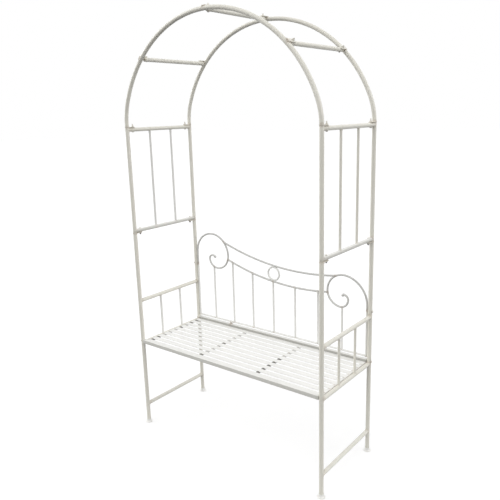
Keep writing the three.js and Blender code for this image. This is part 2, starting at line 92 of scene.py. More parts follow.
class Row(Sign):
    """The front or the back row of posts, with its sign along Y."""

    FRONT = -1
    BACK = 1


class End(Enum):
    """How a tube or a rod ends where it isn't cut to fit: flat where it runs on as another piece."""

    FLAT = "flat"
    SQUARE = "square"
    DOMED = "domed"


class Look(Enum):
    """A finish, with a description and the name of a material slot."""

    FRAME = ("tubes", "frame_paint")
    # Painted light: a darker cream that stands for shaded sides, under an even painted highlight on top.
    BLEACHED = ("rails with a bleached top", "frame_paint")
    # Painted shade: a dark paint for the shaded front of the back rail, with the painted lit top.
    REAR_RAIL = ("the rear rail, with a grimy front", "frame_paint")
    # Painted light: a paler copy of the cream paint for rods that look well lit.
    PALE_RODS = ("balusters and thin bars", "frame_paint")
    # Painted shade: a greyer copy of the same cream paint, for the scrolls, the sagging rails and some bearer
    # parts.
    SCROLLS = ("scrolls", "frame_paint")
    SLATS = ("slats", "slats")
    # Painted shade: dark paint for the bearers in the shade under the slats.
    BEARERS = ("bearers", "slats")
    FASTENERS = ("bolts in view of the sky", "fasteners")
    # Painted shade: these bolts take a near-black tint at their tails, in the shade under the rail.
    TARNISHED = ("bolts under a rail", "fasteners")
    FOOT_CAPS = ("foot caps", "foot_caps")

    @property
    def slot(self) -> str:
        """The slot's name."""
        return self.value[1]


def unit(vector: Sequence[float]) -> Array:
    """Returns the vector with length one."""
    return np.asarray(vector, float) / np.linalg.norm(vector)


def units(vectors: Array) -> Array:
    """Returns the vectors, one in each row, with length one."""
    return vectors / np.maximum(np.linalg.norm(vectors, axis=1), 1e-9)[:, None]


def point(x: float, y: float, z: float) -> Array:
    """Returns a point as an array."""
    return np.array([x, y, z], float)


def around(first: Array, second: Array, sides: int) -> Array:
    """Returns directions spread evenly over one full turn, from the first one towards the second one."""
    angles = np.linspace(0.0, 2.0 * math.pi, sides, endpoint=False)[:, None]
    return np.cos(angles) * first[..., None, :] + np.sin(angles) * second[..., None, :]


def straight_path(start: Array, end: Array, pitch: float = 0.02) -> Array:
    """Returns evenly spaced points on a straight line, one in each row, at most the pitch apart."""
    count = max(2, int(math.ceil(np.linalg.norm(end - start) / pitch)) + 1)
    return start + (end - start) * np.linspace(0.0, 1.0, count)[:, None]


def travelled(path: Array) -> Array:
    """Returns the length of a path up to each of its points."""
    return np.concatenate([[0.0], np.cumsum(np.linalg.norm(np.diff(path, axis=0), axis=1))])


@dataclass(frozen=True)
class Arc:
    """An arc in the upright plane through the origin along X. Angles start at +X and turn towards +Z."""

    centre: tuple[float, float]
    radius: float
    start: float
    end: float

    def at(self, share: float) -> Array:
        """Finds a point of the arc.

        Args:
            share: How far along the arc it lies, from 0 to 1.

        Returns:
            The point.
        """
        angle = self.start + (self.end - self.start) * share
        x, z = self.centre
        return point(x + self.radius * math.cos(angle), 0.0, z + self.radius * math.sin(angle))

    def path(self, steps: int) -> Array:
        """Returns evenly spaced points, one in each row."""
        return np.array([self.at(share) for share in np.linspace(0.0, 1.0, steps + 1)])

    def low_side(self, x: float) -> float:
        """Returns the height of the circle's lower half at a place along X."""
        return self.centre[1] - math.sqrt(self.radius**2 - (x - self.centre[0]) ** 2)


def arc_through(first: Array, second: Array, third: Array) -> Arc:
    """Lays an arc from one point over a second to a third.

    Args:
        first: The first point.
        second: A point in between.
        third: The last point.

    Returns:
        The arc.
    """
    near, far = second - first, third - first
    spread = 2.0 * (near[0] * far[2] - near[2] * far[0])
    x = first[0] + (far[2] * (near @ near) - near[2] * (far @ far)) / spread
    z = first[2] + (near[0] * (far @ far) - far[0] * (near @ near)) / spread
    start, end = (math.atan2(place[2] - z, place[0] - x) for place in (first, third))
    return Arc((x, z), math.hypot(first[0] - x, first[2] - z), start, end)


def carried_frames(path: Array) -> tuple[Array, Array, Array]:
    """Carries a cross-section along a path without twist.

    Args:
        path: The points of the path.

    Returns:
        The directions along the path and two directions across it, at each point.
    """
    steps = units(np.diff(path, axis=0))
    tangents = units(np.vstack([steps[:1], steps[:-1] + steps[1:], steps[-1:]]))
    helper = INWARD if abs(tangents[0] @ INWARD) < 0.9 else ALONG
    across = [unit(np.cross(tangents[0], helper))]
    for tangent in tangents[1:]:
        across.append(unit(across[-1] - tangent * (across[-1] @ tangent)))
    return tangents, np.array(across), np.cross(tangents, across)


def quads(rows: int, sides: int) -> Array:
    """Joins rings of points with faces.

    Args:
        rows: How many rings there are.
        sides: How many points each ring has.

    Returns:
        The corners of each face, by ring. Those of the last ring join it to the first one.
    """
    index = np.arange(rows * sides).reshape(rows, sides)
    following = np.roll(index, -1, axis=1)
    far, far_following = np.roll(index, -1, axis=0), np.roll(following, -1, axis=0)
    return np.stack([index, following, far_following, far], axis=-1)


@dataclass(frozen=True)
class Cope:
    """The round surface of another tube, which a tube's end is cut to fit and welded to.

    The tube that is cut starts on the other one's axis.
    """

    axis: Array
    radius: float
    weld: float = TUBE_WELD

    def meet(self, origin: Array, directions: Array, radius: float, heading: Array) -> tuple[Array, ...]:
        """Finds where the lines along a tube's side meet the other tube.

        Args:
            origin: The point on the other tube's axis where this tube starts.
            directions: The outward directions of this tube's side lines.
            radius: This tube's radius.
            heading: The direction in which this tube leaves the other one.

        Returns:
            The meeting points, the other tube's outward directions there, and the depths along the heading.
        """
        offsets = directions * radius
        flat = offsets - np.outer(offsets @ self.axis, self.axis)
        run = heading - self.axis * (heading @ self.axis)
        a, b, c = run @ run, 2.0 * flat @ run, np.sum(flat * flat, axis=1) - self.radius**2
        depths = (-b + np.sqrt(np.maximum(b * b - 4.0 * a * c, 0.0))) / (2.0 * a)
        normals = units(flat + np.outer(depths, run))
        return origin + offsets + np.outer(depths, heading), normals, depths


class Sketch:
    """Gathers closed bodies into the mesh of one piece."""

    def __init__(self) -> None:
        """Starts with no points and no faces."""
        self.points: list[Array] = []
        self.faces: list[list[int]] = []

    def add(self, points: Array, faces: Iterable[Sequence[int]]) -> None:
        """Adds one closed body.

        Args:
            points: Its points, one in each row.
            faces: The corners of each face, counted from the body's first point.
        """
        start = sum(len(body) for body in self.points)
        self.faces += [[int(corner) + start for corner in face] for face in faces]
        self.points.append(points)

    def skin(self, rings: Array, looped: bool = False) -> None:
        """Skins a row of rings, and closes its two ends unless the row is a loop.

        Args:
            rings: The points, by ring and by place on the ring.
            looped: Whether the last ring joins the first one.
        """
        rows, sides, _ = rings.shape
        faces = quads(rows, sides)[: rows if looped else rows - 1].reshape(-1, 4).tolist()
        points = rings.reshape(-1, 3)
        if not looped:
            points = np.vstack([points, rings[0].mean(axis=0), rings[-1].mean(axis=0)])
            centre, last = rows * sides, (rows - 1) * sides
            for side in range(sides):
                following = (side + 1) % sides
                faces += [[centre, following, side], [centre + 1, last + side, last + following]]
        self.add(points, faces)

    def _end_rings(
        self, end: End | Cope, origin: Array, heading: Array, directions: Array, radius: float
    ) -> tuple[Array, float]:
        """Makes the rings that finish one end of a sweep.

        Args:
            end: The kind of end, or the surface that it is cut to fit.
            origin: The end's place on the path.
            heading: The direction from the end into the sweep.
            directions: The outward directions of the section there.
            radius: The section's radius.

        Returns:
            The rings from the tip inwards, and how far they reach along the path.
        """
        if isinstance(end, Cope):
            seam, normals, depths = end.meet(origin, directions, radius, heading)
            if end.weld:
                self.bead(seam, directions, normals, end.weld)
            return seam[None], float(depths.max())
        if end is End.FLAT:
            steps = [(0.0, radius)]
        elif end is End.SQUARE:
            chamfer = radius * 0.08
            steps = [(0.0, radius - chamfer), (chamfer * 0.3, radius - chamfer * 0.3), (chamfer, radius)]
        else:
            turns = np.linspace(0.12, 0.5, 7) * math.pi
            steps = [(radius * (1.0 - math.cos(turn)), radius * math.sin(turn)) for turn in turns]
        rings = [origin + heading * depth + directions * width for depth, width in steps]
        return np.array(rings), steps[-1][0]

    def sweep(
        self,
        path: Array,
        radius: float,
        sides: int,
        start: End | Cope = End.SQUARE,
        end: End | Cope = End.SQUARE,
    ) -> None:
        """Sweeps a round section along a path.

        Args:
            path: The points of the path.
            radius: The section's radius.
            sides: How many sides the section has.
            start: How the sweep starts.
            end: How the sweep ends.
        """
        tangents, across, above = carried_frames(path)
        directions = around(across, above, sides)
        rings = path[:, None, :] + radius * directions
        head, head_depth = self._end_rings(start, path[0], tangents[0], directions[0], radius)
        tail, tail_depth = self._end_rings(end, path[-1], -tangents[-1], directions[-1], radius)
        room, place = 0.0006, travelled(path)
        kept = (place > head_depth + room) & (place < place[-1] - tail_depth - room)
        self.skin(np.concatenate([head, rings[kept], tail[::-1]]))

    def tube(self, start: Array, end: Array, radius: float, sides: int, *ends: End | Cope) -> None:
        """Sweeps a straight tube between two points of its axis. Without ends it is cut square."""
        self.sweep(straight_path(start, end), radius, sides, *ends)

    def bead(self, seam: Array, first: Array, second: Array, size: float, looped: bool = True) -> None:
        """Lays a rippled weld bead along the seam of two surfaces.

        Args:
            seam: The points of the seam.
            first: The outward direction of one surface, or one for each point.
            second: The outward direction of the other surface, likewise.
            size: The bead's radius.
            looped: Whether the seam closes on itself.
        """
        ripple, samples_each, sides = 0.0026, 3, 7
        place = travelled(np.vstack([seam, seam[:1]]) if looped else seam)
        ripples = max(3, round(place[-1] / ripple))
        samples = np.linspace(0.0, place[-1], ripples * samples_each, endpoint=not looped)
        spread = []
        for values in (seam, first, second):
            whole = np.broadcast_to(values, seam.shape)
            whole = np.vstack([whole, whole[:1]]) if looped else whole
            spread.append(np.stack([np.interp(samples, place, whole[:, axis]) for axis in range(3)], axis=1))
        line, one, two = spread
        facing = np.sum(one * two, axis=1)
        out = units(one + two)
        if looped:
            tangents = units(np.roll(line, -1, axis=0) - np.roll(line, 1, axis=0))
        else:
            tangents = units(np.gradient(line, axis=0))
        phase = samples / place[-1] * ripples * 2.0 * math.pi
        swell = 1.0 + 0.13 * np.cos(phase) + 0.06 * np.sin(phase * 0.37 + size * 9e3)
        centre = line + out * (size * (0.42 - 0.95 * np.clip(facing, 0.0, 1.0)))[:, None]
        if not looped:
            swell *= np.minimum(1.0, 0.35 + np.minimum(samples, place[-1] - samples) / (1.6 * size))
        section = around(out, np.cross(tangents, out), sides)
        self.skin(centre[:, None, :] + size * swell[:, None, None] * section, looped=looped)

    def tack(self, place: Array, reach: Array, first: Array, second: Array, size: float) -> None:
        """Lays a straight weld between two surfaces, as far as the reach to both sides of a place."""
        self.bead(np.array([place - reach, place + reach]), first, second, size, looped=False)

    def collar(self, foot: Array, radius: float, facing: Array) -> None:
        """Lays a weld round an upright tube whose foot stands on a plate that faces the given way."""
        radial = around(ALONG, INWARD, SEAM_STEPS)
        self.bead(foot + radial * radius, radial, facing, BAR_WELD)

    def lathe(self, profile: Iterable[tuple], origin: Array, axis: Array, sides: int) -> None:
        """Turns a profile round an axis.

        Args:
            profile: The radius and the height of each ring, from one end to the other, as one value or as
                one for each side.
            origin: The place of height zero.
            axis: The direction of the axis.
            sides: How many sides the turned body has.
        """
        heading = unit(axis)
        across = unit(np.cross(UP if abs(heading @ UP) < 0.9 else ALONG, heading))
        spokes = around(across, np.cross(heading, across), sides)
        rings = []
        for row in profile:
            radii, heights = (np.broadcast_to(value, sides)[:, None] for value in row)
            rings.append(origin + heights * heading + spokes * radii)
        self.skin(np.array(rings))

    def prism(
        self, outline: Array, origin: Array, axes: Sequence[Array], thickness: float, bevel: float = 0.0004
    ) -> None:
        """Raises a flat outline into a plate with rounded edges.

        Args:
            outline: The outline's points, in the plate's own two directions.
            origin: The place of the outline's zero, on the lower face.
            axes: The plate's two directions and the direction of its thickness.
            thickness: The plate's thickness.
            bevel: The radius of its edges.
        """
        run = units(np.roll(outline, -1, axis=0) - np.roll(outline, 1, axis=0))
        outward = np.stack([run[:, 1], -run[:, 0]], axis=1)
        rings = []
        for angle in np.array([0.0, 0.25, 0.5]) * math.pi:
            inset, height = bevel * (1.0 - math.sin(angle)), bevel * (1.0 - math.cos(angle))
            rings.append((outline - outward * inset, height))
        rings += [(shape, thickness - height) for shape, height in reversed(rings)]
        flat = np.array(axes[:2], float)
        self.skin(np.array([origin + shape @ flat + axes[2] * height for shape, height in rings]))


def round_ended(half_width: float, reach: float) -> Array:
    """Draws a plate with two half-round ends, counter-clockwise.

    Args:
        half_width: Half the plate's width.
        reach: How far the second end's centre lies along the plate from the first one's.

    Returns:
        The outline's points.
    """
    turns = np.linspace(0.0, math.pi, 17)
    arc = half_width * np.stack([np.cos(turns), np.sin(turns)], axis=1)
    return np.vstack([-arc, arc + (0.0, reach)])


def rounded_box(low: tuple[float, float], high: tuple[float, float], radius: float) -> Array:
    """Draws a rectangle with rounded corners, counter-clockwise.

    Args:
        low: Its lowest corner.
        high: Its highest corner.
        radius: The radius of its corners.

    Returns:
        The outline's points.
    """
    left, right = low[0] + radius, high[0] - radius
    bottom, top = low[1] + radius, high[1] - radius
    parts = []
    for index, centre in enumerate(((right, top), (left, top), (left, bottom), (right, bottom))):
        angles = np.linspace(index, index + 1.0, 7) * math.pi / 2.0
        parts.append(np.array(centre) + radius * np.stack([np.cos(angles), np.sin(angles)], axis=1))
    return np.vstack(parts)


class Graph:
    """Adds the nodes of one tree and joins them."""

    def __init__(self, tree: Tree) -> None:
        """Keeps the tree."""
        self.tree = tree

    @classmethod
    def of(cls, owner: bpy.types.Material | bpy.types.World) -> "Graph":
        """Empties the tree of a material or of the world.

        Args:
            owner: What the tree belongs to.

        Returns:
            The tree's graph.
        """
        owner.use_nodes = True
        owner.node_tree.nodes.clear()
        return cls(owner.node_tree)

    def node(self, kind: str, inputs: dict | None = None, **settings: object) -> bpy.types.Node:
        """Adds a node.

        Args:
            kind: The node's type, without the word that all of them start with.
            inputs: A value or an output socket for each input, by its name or number.
            settings: The node's own settings.

        Returns:
            The new node.
        """
        made = self.tree.nodes.new("ShaderNode" + kind)
        for key, value in settings.items():
            setattr(made, key, value)
        for key, value in (inputs or {}).items():
            if isinstance(value, Socket):
                self.tree.links.new(value, made.inputs[key])
            else:
                made.inputs[key].default_value = value
        return made

    def math(self, operation: str, *values: object, clamp: bool = False) -> Socket:
        """Returns the socket of one sum of values or sockets, kept from 0 to 1 if asked."""
        return self.node("Math", dict(enumerate(values)), operation=operation, use_clamp=clamp).outputs[0]

    def times(self, first: object, second: object, clamp: bool = False) -> Socket:
        """Returns the product of two values or sockets, kept from 0 to 1 if asked."""
        return self.math("MULTIPLY", first, second, clamp=clamp)

    def swing(self, pattern: Socket, reach: object) -> Socket:
        """Returns a pattern that runs to both sides of zero instead of from 0 to 1."""
        return self.times(self.math("SUBTRACT", pattern, 0.5), reach)

    def blend(self, factor: Socket, first: Colour | Socket, second: Colour | Socket) -> Socket:
        """Returns the socket of two colours mixed, with more of the second one the higher the factor."""
        one, two = ((*value, 1.0) if isinstance(value, tuple) else value for value in (first, second))
        return self.node("Mix", {0: factor, 6: one, 7: two}, data_type="RGBA").outputs[2]

    def ramp(self, value: Socket, low: float, high: float) -> Socket:
        """Returns a value's socket, spread smoothly so that low becomes 0 and high becomes 1."""
        inputs = {0: value, 1: low, 2: high, 3: 0.0, 4: 1.0}
        return self.node("MapRange", inputs, interpolation_type="SMOOTHSTEP").outputs[0]

    def noise(self, scale: object, detail: float, height_scale: float = 1.0) -> Socket:
        """Adds a noise pattern that lies on the object's own coordinates.

        Args:
            scale: The pattern's scale.
            detail: How many finer layers it has.
            height_scale: How much finer the pattern is along Z than across it.

        Returns:
            The pattern's socket.
        """
        place = self.node("TexCoord").outputs["Object"]
        mapped = self.node("Mapping", {"Vector": place, "Scale": (1.0, 1.0, height_scale)}).outputs[0]
        inputs = {"Vector": mapped, "Scale": scale, "Detail": detail, "Roughness": 0.6}
        return self.node("TexNoise", inputs).outputs[0]

    def close(self, colour: Socket, peel: Socket, strength: float, depth: float, **inputs: object) -> None:
        """Adds a material's shader, with the bump of its finish, and joins it to the surface.

        Args:
            colour: The base colour.
            peel: The bump's height.
            strength: The bump's strength.
            depth: The bump's depth.
            inputs: What the shader's other inputs take, with _ for each space in a name.
        """
        bump = self.node("Bump", {"Strength": strength, "Distance": depth, "Height": peel})
        named = {label.replace("_", " "): value for label, value in inputs.items()}
        named |= {"Base Color": colour, "Normal": bump.outputs[0]}
        shader = self.node("BsdfPrincipled", named)
        self.node("OutputMaterial", {"Surface": shader.outputs[0]})


class Effect(Graph):
    """A shader node group, with named inputs and outputs, that several materials share."""

    def __init__(self, name: str, **inputs: float) -> None:
        """Makes the group.

        Args:
            name: The group's name.
            inputs: The usual value of each input, by its name.
        """
        super().__init__(bpy.data.node_groups.new(name, "ShaderNodeTree"))
        for label, value in inputs.items():
            self._socket(label, "INPUT").default_value = value
        self.inputs = self.tree.nodes.new("NodeGroupInput").outputs

    def _socket(self, label: str, way: str) -> bpy.types.NodeTreeInterfaceSocket:
        """Returns a new socket of the group."""
        return self.tree.interface.new_socket(name=label, in_out=way, socket_type="NodeSocketFloat")

    def ended(self, **outputs: Socket) -> Tree:
        """Makes the group's outputs.

        Args:
            outputs: What each output puts out, by its name.

        Returns:
            The whole group.
        """
        for label in outputs:
            self._socket(label, "OUTPUT")
        leave = self.tree.nodes.new("NodeGroupOutput")
        for label, socket in outputs.items():
            self.tree.links.new(socket, leave.inputs[label])
        return self.tree


def paint_tone() -> Tree:
    """Builds the uneven tone of old paint.

    Returns:
        The group. Tone runs from 0, fresh, to 1, yellowed. Speck marks small pits.
    """
    group = Effect("paint_tone", Scale=1.0, Patch=0.5, Streak=0.3, Speck=0.5)
    scale = group.inputs["Scale"]
    patch = group.swing(group.noise(group.times(scale, 7.0), 4.0), group.inputs["Patch"])
    streak = group.swing(group.noise(group.times(scale, 60.0), 3.0, 0.1), group.inputs["Streak"])
    both = group.times(group.math("ADD", patch, streak), 2.4)
    specks = group.ramp(group.noise(group.times(scale, 520.0), 1.0), 0.66, 0.74)
    tone = group.math("ADD", both, 0.45, clamp=True)
    return group.ended(Tone=tone, Speck=group.times(specks, group.inputs["Speck"]))


def joint_stain() -> Tree:
    """Builds the rust tint that creeps out of welds and bolt holes.

    Returns:
        The group. Mask is the tint's strength.
    """
    group = Effect("joint_stain", Amount=0.5)
    shade = group.node("Attribute", attribute_name=JOINT_SHADE).outputs["Fac"]
    edge = group.math("ADD", shade, group.swing(group.noise(95.0, 5.0, 0.6), 0.8))
    spread = group.times(group.ramp(edge, 0.25, 1.0), group.ramp(shade, 0.0, 0.2))
    return group.ended(Mask=group.times(spread, group.inputs["Amount"], clamp=True))


def edge_wear() -> Tree:
    """Builds the wear that thins the finish along edges.

    Returns:
        The group. Mask is 1 where the finish has worn through.
    """
    group = Effect("edge_wear", Width=0.0008, Amount=0.5)
    rounded = group.node("Bevel", {"Radius": group.inputs["Width"]}, samples=6).outputs[0]
    true = group.node("NewGeometry").outputs["Normal"]
    facing = group.node("VectorMath", {0: rounded, 1: true}, operation="DOT_PRODUCT").outputs["Value"]
    turned = group.math("SUBTRACT", 1.0, facing)
    edge = group.math("ADD", turned, group.swing(group.noise(260.0, 4.0), 0.06))
    mask = group.times(group.ramp(edge, 0.03, 0.12), group.ramp(turned, 0.005, 0.03))
    return group.ended(Mask=group.times(mask, group.inputs["Amount"], clamp=True))


def orange_peel() -> Tree:
    """Builds the fine waves of a sprayed coat.

    Returns:
        The group. Height is for a bump.
    """
    group = Effect("orange_peel", Scale=1.0)
    waves = group.noise(group.times(group.inputs["Scale"], 420.0), 1.0)
    grain = group.noise(group.times(group.inputs["Scale"], 2400.0), 2.0)
    return group.ended(Height=group.math("ADD", waves, group.times(grain, 0.3)))


def settled_dust() -> Tree:
    """Builds a dusting on surfaces that face up, and a painted highlight that lightens them as if lit from
    above.

    Returns:
        The group. Mask is their cover. Even is the least cover between the clouds; set high, it paints an
        even highlight on every surface that faces up.
    """
    group = Effect("settled_dust", Amount=0.3, Even=0.0)
    height = group.node("SeparateXYZ", {0: group.node("NewGeometry").outputs["Normal"]}).outputs["Z"]
    clouds = group.math("MAXIMUM", group.ramp(group.noise(38.0, 5.0), 0.38, 0.68), group.inputs["Even"])
    cover = group.times(group.ramp(height, 0.35, 0.95), clouds)
    return group.ended(Mask=group.times(cover, group.inputs["Amount"], clamp=True))


class Effects:
    """The shared effects, each built once."""

    def __init__(self) -> None:
        """Builds every group."""
        self.tone, self.stain, self.wear = paint_tone(), joint_stain(), edge_wear()
        self.peel, self.dust = orange_peel(), settled_dust()


@dataclass(frozen=True)
class PaintFinish:
    """Sprayed cream paint on steel, yellowed in patches and tinted rusty at the joints; some finishes below
    paint light or shade into these colours.
    """

    name: str
    fresh: Colour = (0.828, 0.812, 0.740)
    yellowed: Colour = (0.765, 0.738, 0.645)
    rust_and_shade: Colour = (0.300, 0.185, 0.095)
    bare: Colour = (0.500, 0.440, 0.350)
    # Colour of the cover on up-facing surfaces: a dusting in most finishes, a painted highlight in the rail
    # finishes with a painted lit top.
    dust: Colour = (0.850, 0.835, 0.790)
    patch: float = 0.30
    streak: float = 0.20
    speck: float = 0.20
    stain: float = 0.55
    wear: float = 0.25
    wear_width: float = 0.0009
    # How much of that cover shows, and its least share between clouds; an even full cover paints a highlight
    # on every surface that faces up.
    dusty: float = 0.35
    bleached: float = 0.0
    roughness: float = 0.42
    roughness_spread: float = 0.16
    coat: float = 0.60
    coat_roughness: float = 0.16
    peel_depth: float = 0.00006
    peel_scale: float = 1.0

    def material(self, effects: Effects) -> bpy.types.Material:
        """Builds the finish's material.

        Args:
            effects: The shared effects.

        Returns:
            The material.
        """
        made = bpy.data.materials.new(self.name)
        graph = Graph.of(made)
        patches = {"Patch": self.patch, "Streak": self.streak, "Speck": self.speck}
        worn = {"Width": self.wear_width, "Amount": self.wear}
        cover = {"Amount": self.dusty, "Even": self.bleached}
        tone = graph.node("Group", patches, node_tree=effects.tone).outputs
        stain = graph.node("Group", {"Amount": self.stain}, node_tree=effects.stain).outputs["Mask"]
        wear = graph.node("Group", worn, node_tree=effects.wear).outputs["Mask"]
        peel = graph.node("Group", {"Scale": self.peel_scale}, node_tree=effects.peel).outputs["Height"]
        # Up-facing cover: a dusting, and in the rail finishes with a painted lit top, a painted highlight.
        dust = graph.node("Group", cover, node_tree=effects.dust).outputs["Mask"]
        colour = graph.blend(tone["Tone"], self.fresh, self.yellowed)
        layers = ((dust, self.dust), (tone["Speck"], self.bare), (stain, self.rust_and_shade), (wear, self.bare))
        for mask, layer in layers:
            colour = graph.blend(mask, colour, layer)
        rough = graph.math("MULTIPLY_ADD", tone["Tone"], self.roughness_spread, self.roughness)
        rough = graph.math("MULTIPLY_ADD", stain, 0.25, rough, clamp=True)
        coat = {"Coat_Weight": self.coat, "Coat_Roughness": self.coat_roughness}
        graph.close(colour, peel, 0.5, self.peel_depth, Roughness=rough, Metallic=0.0, **coat)
        return made


@dataclass(frozen=True)
class FastenerFinish:
    """Zinc plate that shows through thin cream overspray on bolts and nuts."""

    name: str
    overspray: Colour = (0.800, 0.780, 0.720)
    zinc: Colour = (0.600, 0.580, 0.535)
    rust_and_shade: Colour = (0.285, 0.180, 0.095)
    stain: float = 0.30
    wear: float = 0.75
    wear_width: float = 0.0007
    roughness: float = 0.44
    zinc_shine: float = 0.8
    peel_depth: float = 0.00004

    def material(self, effects: Effects) -> bpy.types.Material:
        """Builds the finish's material.

        Args:
            effects: The shared effects.

        Returns:
            The material.
        """
        made = bpy.data.materials.new(self.name)
        graph = Graph.of(made)
        patches = {"Scale": 6.0, "Patch": 0.9, "Streak": 0.1}
        worn = {"Width": self.wear_width, "Amount": self.wear}
        tone = graph.node("Group", patches, node_tree=effects.tone).outputs["Tone"]
        # The stain mask also lays the painted shade marked under the lower bolts' tails.
        stain = graph.node("Group", {"Amount": self.stain}, node_tree=effects.stain).outputs["Mask"]
        wear = graph.node("Group", worn, node_tree=effects.wear).outputs["Mask"]
        peel = graph.node("Group", node_tree=effects.peel).outputs["Height"]
        bared = graph.math("MAXIMUM", graph.ramp(tone, 0.55, 0.75), wear)
        colour = graph.blend(stain, graph.blend(bared, self.overspray, self.zinc), self.rust_and_shade)
        metal = graph.times(bared, self.zinc_shine)
        rough = graph.math("MULTIPLY_ADD", stain, 0.3, self.roughness, clamp=True)
        graph.close(colour, peel, 0.4, self.peel_depth, Roughness=rough, Metallic=metal)
        return made


# Settings that paint an even highlight on every up-facing surface, as if lit from above.
PAINTED_TOP_LIGHT = {"dust": (0.915, 0.910, 0.880), "dusty": 1.0, "bleached": 0.85}
FINISHES: dict[Look, PaintFinish | FastenerFinish] = {
    Look.FRAME: PaintFinish("frame_cream_paint"),
    # Painted light and shade: rails with a painted lit top over darker, painted shaded sides.
    Look.BLEACHED: PaintFinish(
        "bleached_cream_paint", fresh=(0.690, 0.685, 0.645), yellowed=(0.630, 0.618, 0.565), **PAINTED_TOP_LIGHT
    ),
    # Painted shade: dark cream for the back rail's shaded front, under the even painted highlight on top.
    Look.REAR_RAIL: PaintFinish(
        "rear_rail_grimy_paint", fresh=(0.480, 0.475, 0.445), yellowed=(0.420, 0.410, 0.375), **PAINTED_TOP_LIGHT
    ),
    # Painted light: the lit copy of the cream paint.
    Look.PALE_RODS: PaintFinish(
        "pale_rod_cream_paint",
        fresh=(0.860, 0.862, 0.835),
        yellowed=(0.800, 0.795, 0.755),
        dust=(0.880, 0.878, 0.860),
    ),
    # Painted shade: the shaded copy of the cream paint.
    Look.SCROLLS: PaintFinish(
        "scroll_grey_cream_paint",
        fresh=(0.650, 0.648, 0.625),
        yellowed=(0.565, 0.558, 0.530),
        dust=(0.660, 0.658, 0.640),
    ),
    Look.SLATS: PaintFinish(
        "slat_cream_paint",
        fresh=(0.925, 0.925, 0.905),
        yellowed=(0.890, 0.880, 0.845),
        dust=(0.900, 0.895, 0.870),
        dusty=0.45,
        wear=0.20,
    ),
    # Painted shade: every colour here stands for the shade under the slats, seen through their gaps.
    Look.BEARERS: PaintFinish(
        "bearer_grimy_paint",
        fresh=(0.250, 0.242, 0.225),
        yellowed=(0.060, 0.055, 0.045),
        bare=(0.200, 0.180, 0.150),
        dust=(0.220, 0.210, 0.190),
        rust_and_shade=(0.090, 0.065, 0.045),
        patch=0.90,
        roughness=0.60,
        coat=0.0,
    ),
    Look.FASTENERS: FastenerFinish("bolt_zinc_and_overspray"),
    # Painted shade: the near-black tint at full strength stands for the shade under the rail.
    Look.TARNISHED: FastenerFinish(
        "bolt_tarnished_zinc", rust_and_shade=(0.050, 0.040, 0.032), stain=1.0, zinc_shine=0.3
    ),
    Look.FOOT_CAPS: PaintFinish(
        "foot_cap_plastic",
        fresh=(0.950, 0.945, 0.925),
        yellowed=(0.880, 0.868, 0.825),
        rust_and_shade=(0.400, 0.330, 0.250),
        bare=(0.560, 0.520, 0.440),
        stain=0.25,
        wear=0.45,
        wear_width=0.0014,
        roughness=0.58,
        coat=0.0,
        peel_depth=0.00009,
        peel_scale=1.8,
    ),
}


class Workshop:
    """Holds the finishes and the joints, and turns sketches into dressed pieces."""

    def __init__(self) -> None:
        """Builds the effects and every finish."""
        effects = Effects()
        self.finishes = {look: finish.material(effects) for look, finish in FINISHES.items()}
        self.joints: list[tuple[Array, float]] = []
        self.made = 0

    def joint(self, place: Array, reach: float = 0.026) -> None:
        """Marks a weld or a bolt hole that stains what is near it."""
        self.joints.append((place, reach))

    def _joint_shade(self, points: Array) -> Array:
        """Works out how near each point is to a marked joint.

        Args:
            points: The points, one in each row.

        Returns:
            A shade for each point, from 0, far, to 1, on the joint.
        """
        shade = np.zeros(len(points))
        for place, reach in self.joints:
            distance = np.linalg.norm(points - place, axis=1)
            shade = np.maximum(shade, np.clip(1.0 - distance / reach, 0.0, 1.0))
        return shade

    def dress(
        self, name: str, sketch: Sketch, look: Look, replaces: Sequence[str] = (), sharp: float = 38.0
    ) -> None:
        """Makes a piece from a sketch, gives it its finish and puts it on the frame.

        Args:
            name: The piece's name.
            sketch: The piece's bodies.
            look: The finish that it takes.
            replaces: The frame's nodes that it stands for.
            sharp: The angle in degrees from which an edge shows as sharp.
        """
        points = np.vstack(sketch.points)
        mesh = bpy.data.meshes.new(name)
        mesh.from_pydata(points.tolist(), [], sketch.faces)
        shell = bmesh.new()
        shell.from_mesh(mesh)
        bmesh.ops.recalc_face_normals(shell, faces=shell.faces)
        shell.to_mesh(mesh)
        shell.free()
        mesh.shade_smooth()
        mesh.set_sharp_from_angle(angle=math.radians(sharp))
        shade = mesh.attributes.new(JOINT_SHADE, "FLOAT", "POINT")
        shade.data.foreach_set("value", self._joint_shade(points).astype(np.float32))
        mesh.materials.append(self.finishes[look])
        piece = bpy.data.objects.new(name, mesh)
        bpy.context.scene.collection.objects.link(piece)
        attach(piece, BODY)
        if replaces:
            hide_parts(*replaces)
        self.made += 1
        log.info("%s: %d points, %d faces", name, len(points), len(sketch.faces))

    def remake(self, how: str, node: str, sketch: Sketch, look: Look = Look.FRAME) -> None:
        """Dresses a piece that stands for one node, whose name follows a word on how it is made."""
        self.dress(f"{how}_{node}", sketch, look, [node])


def middle(node: str) -> Array:
    """Returns the centre of a node's box."""
    low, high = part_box(node)
    return np.array((low + high) / 2.0)


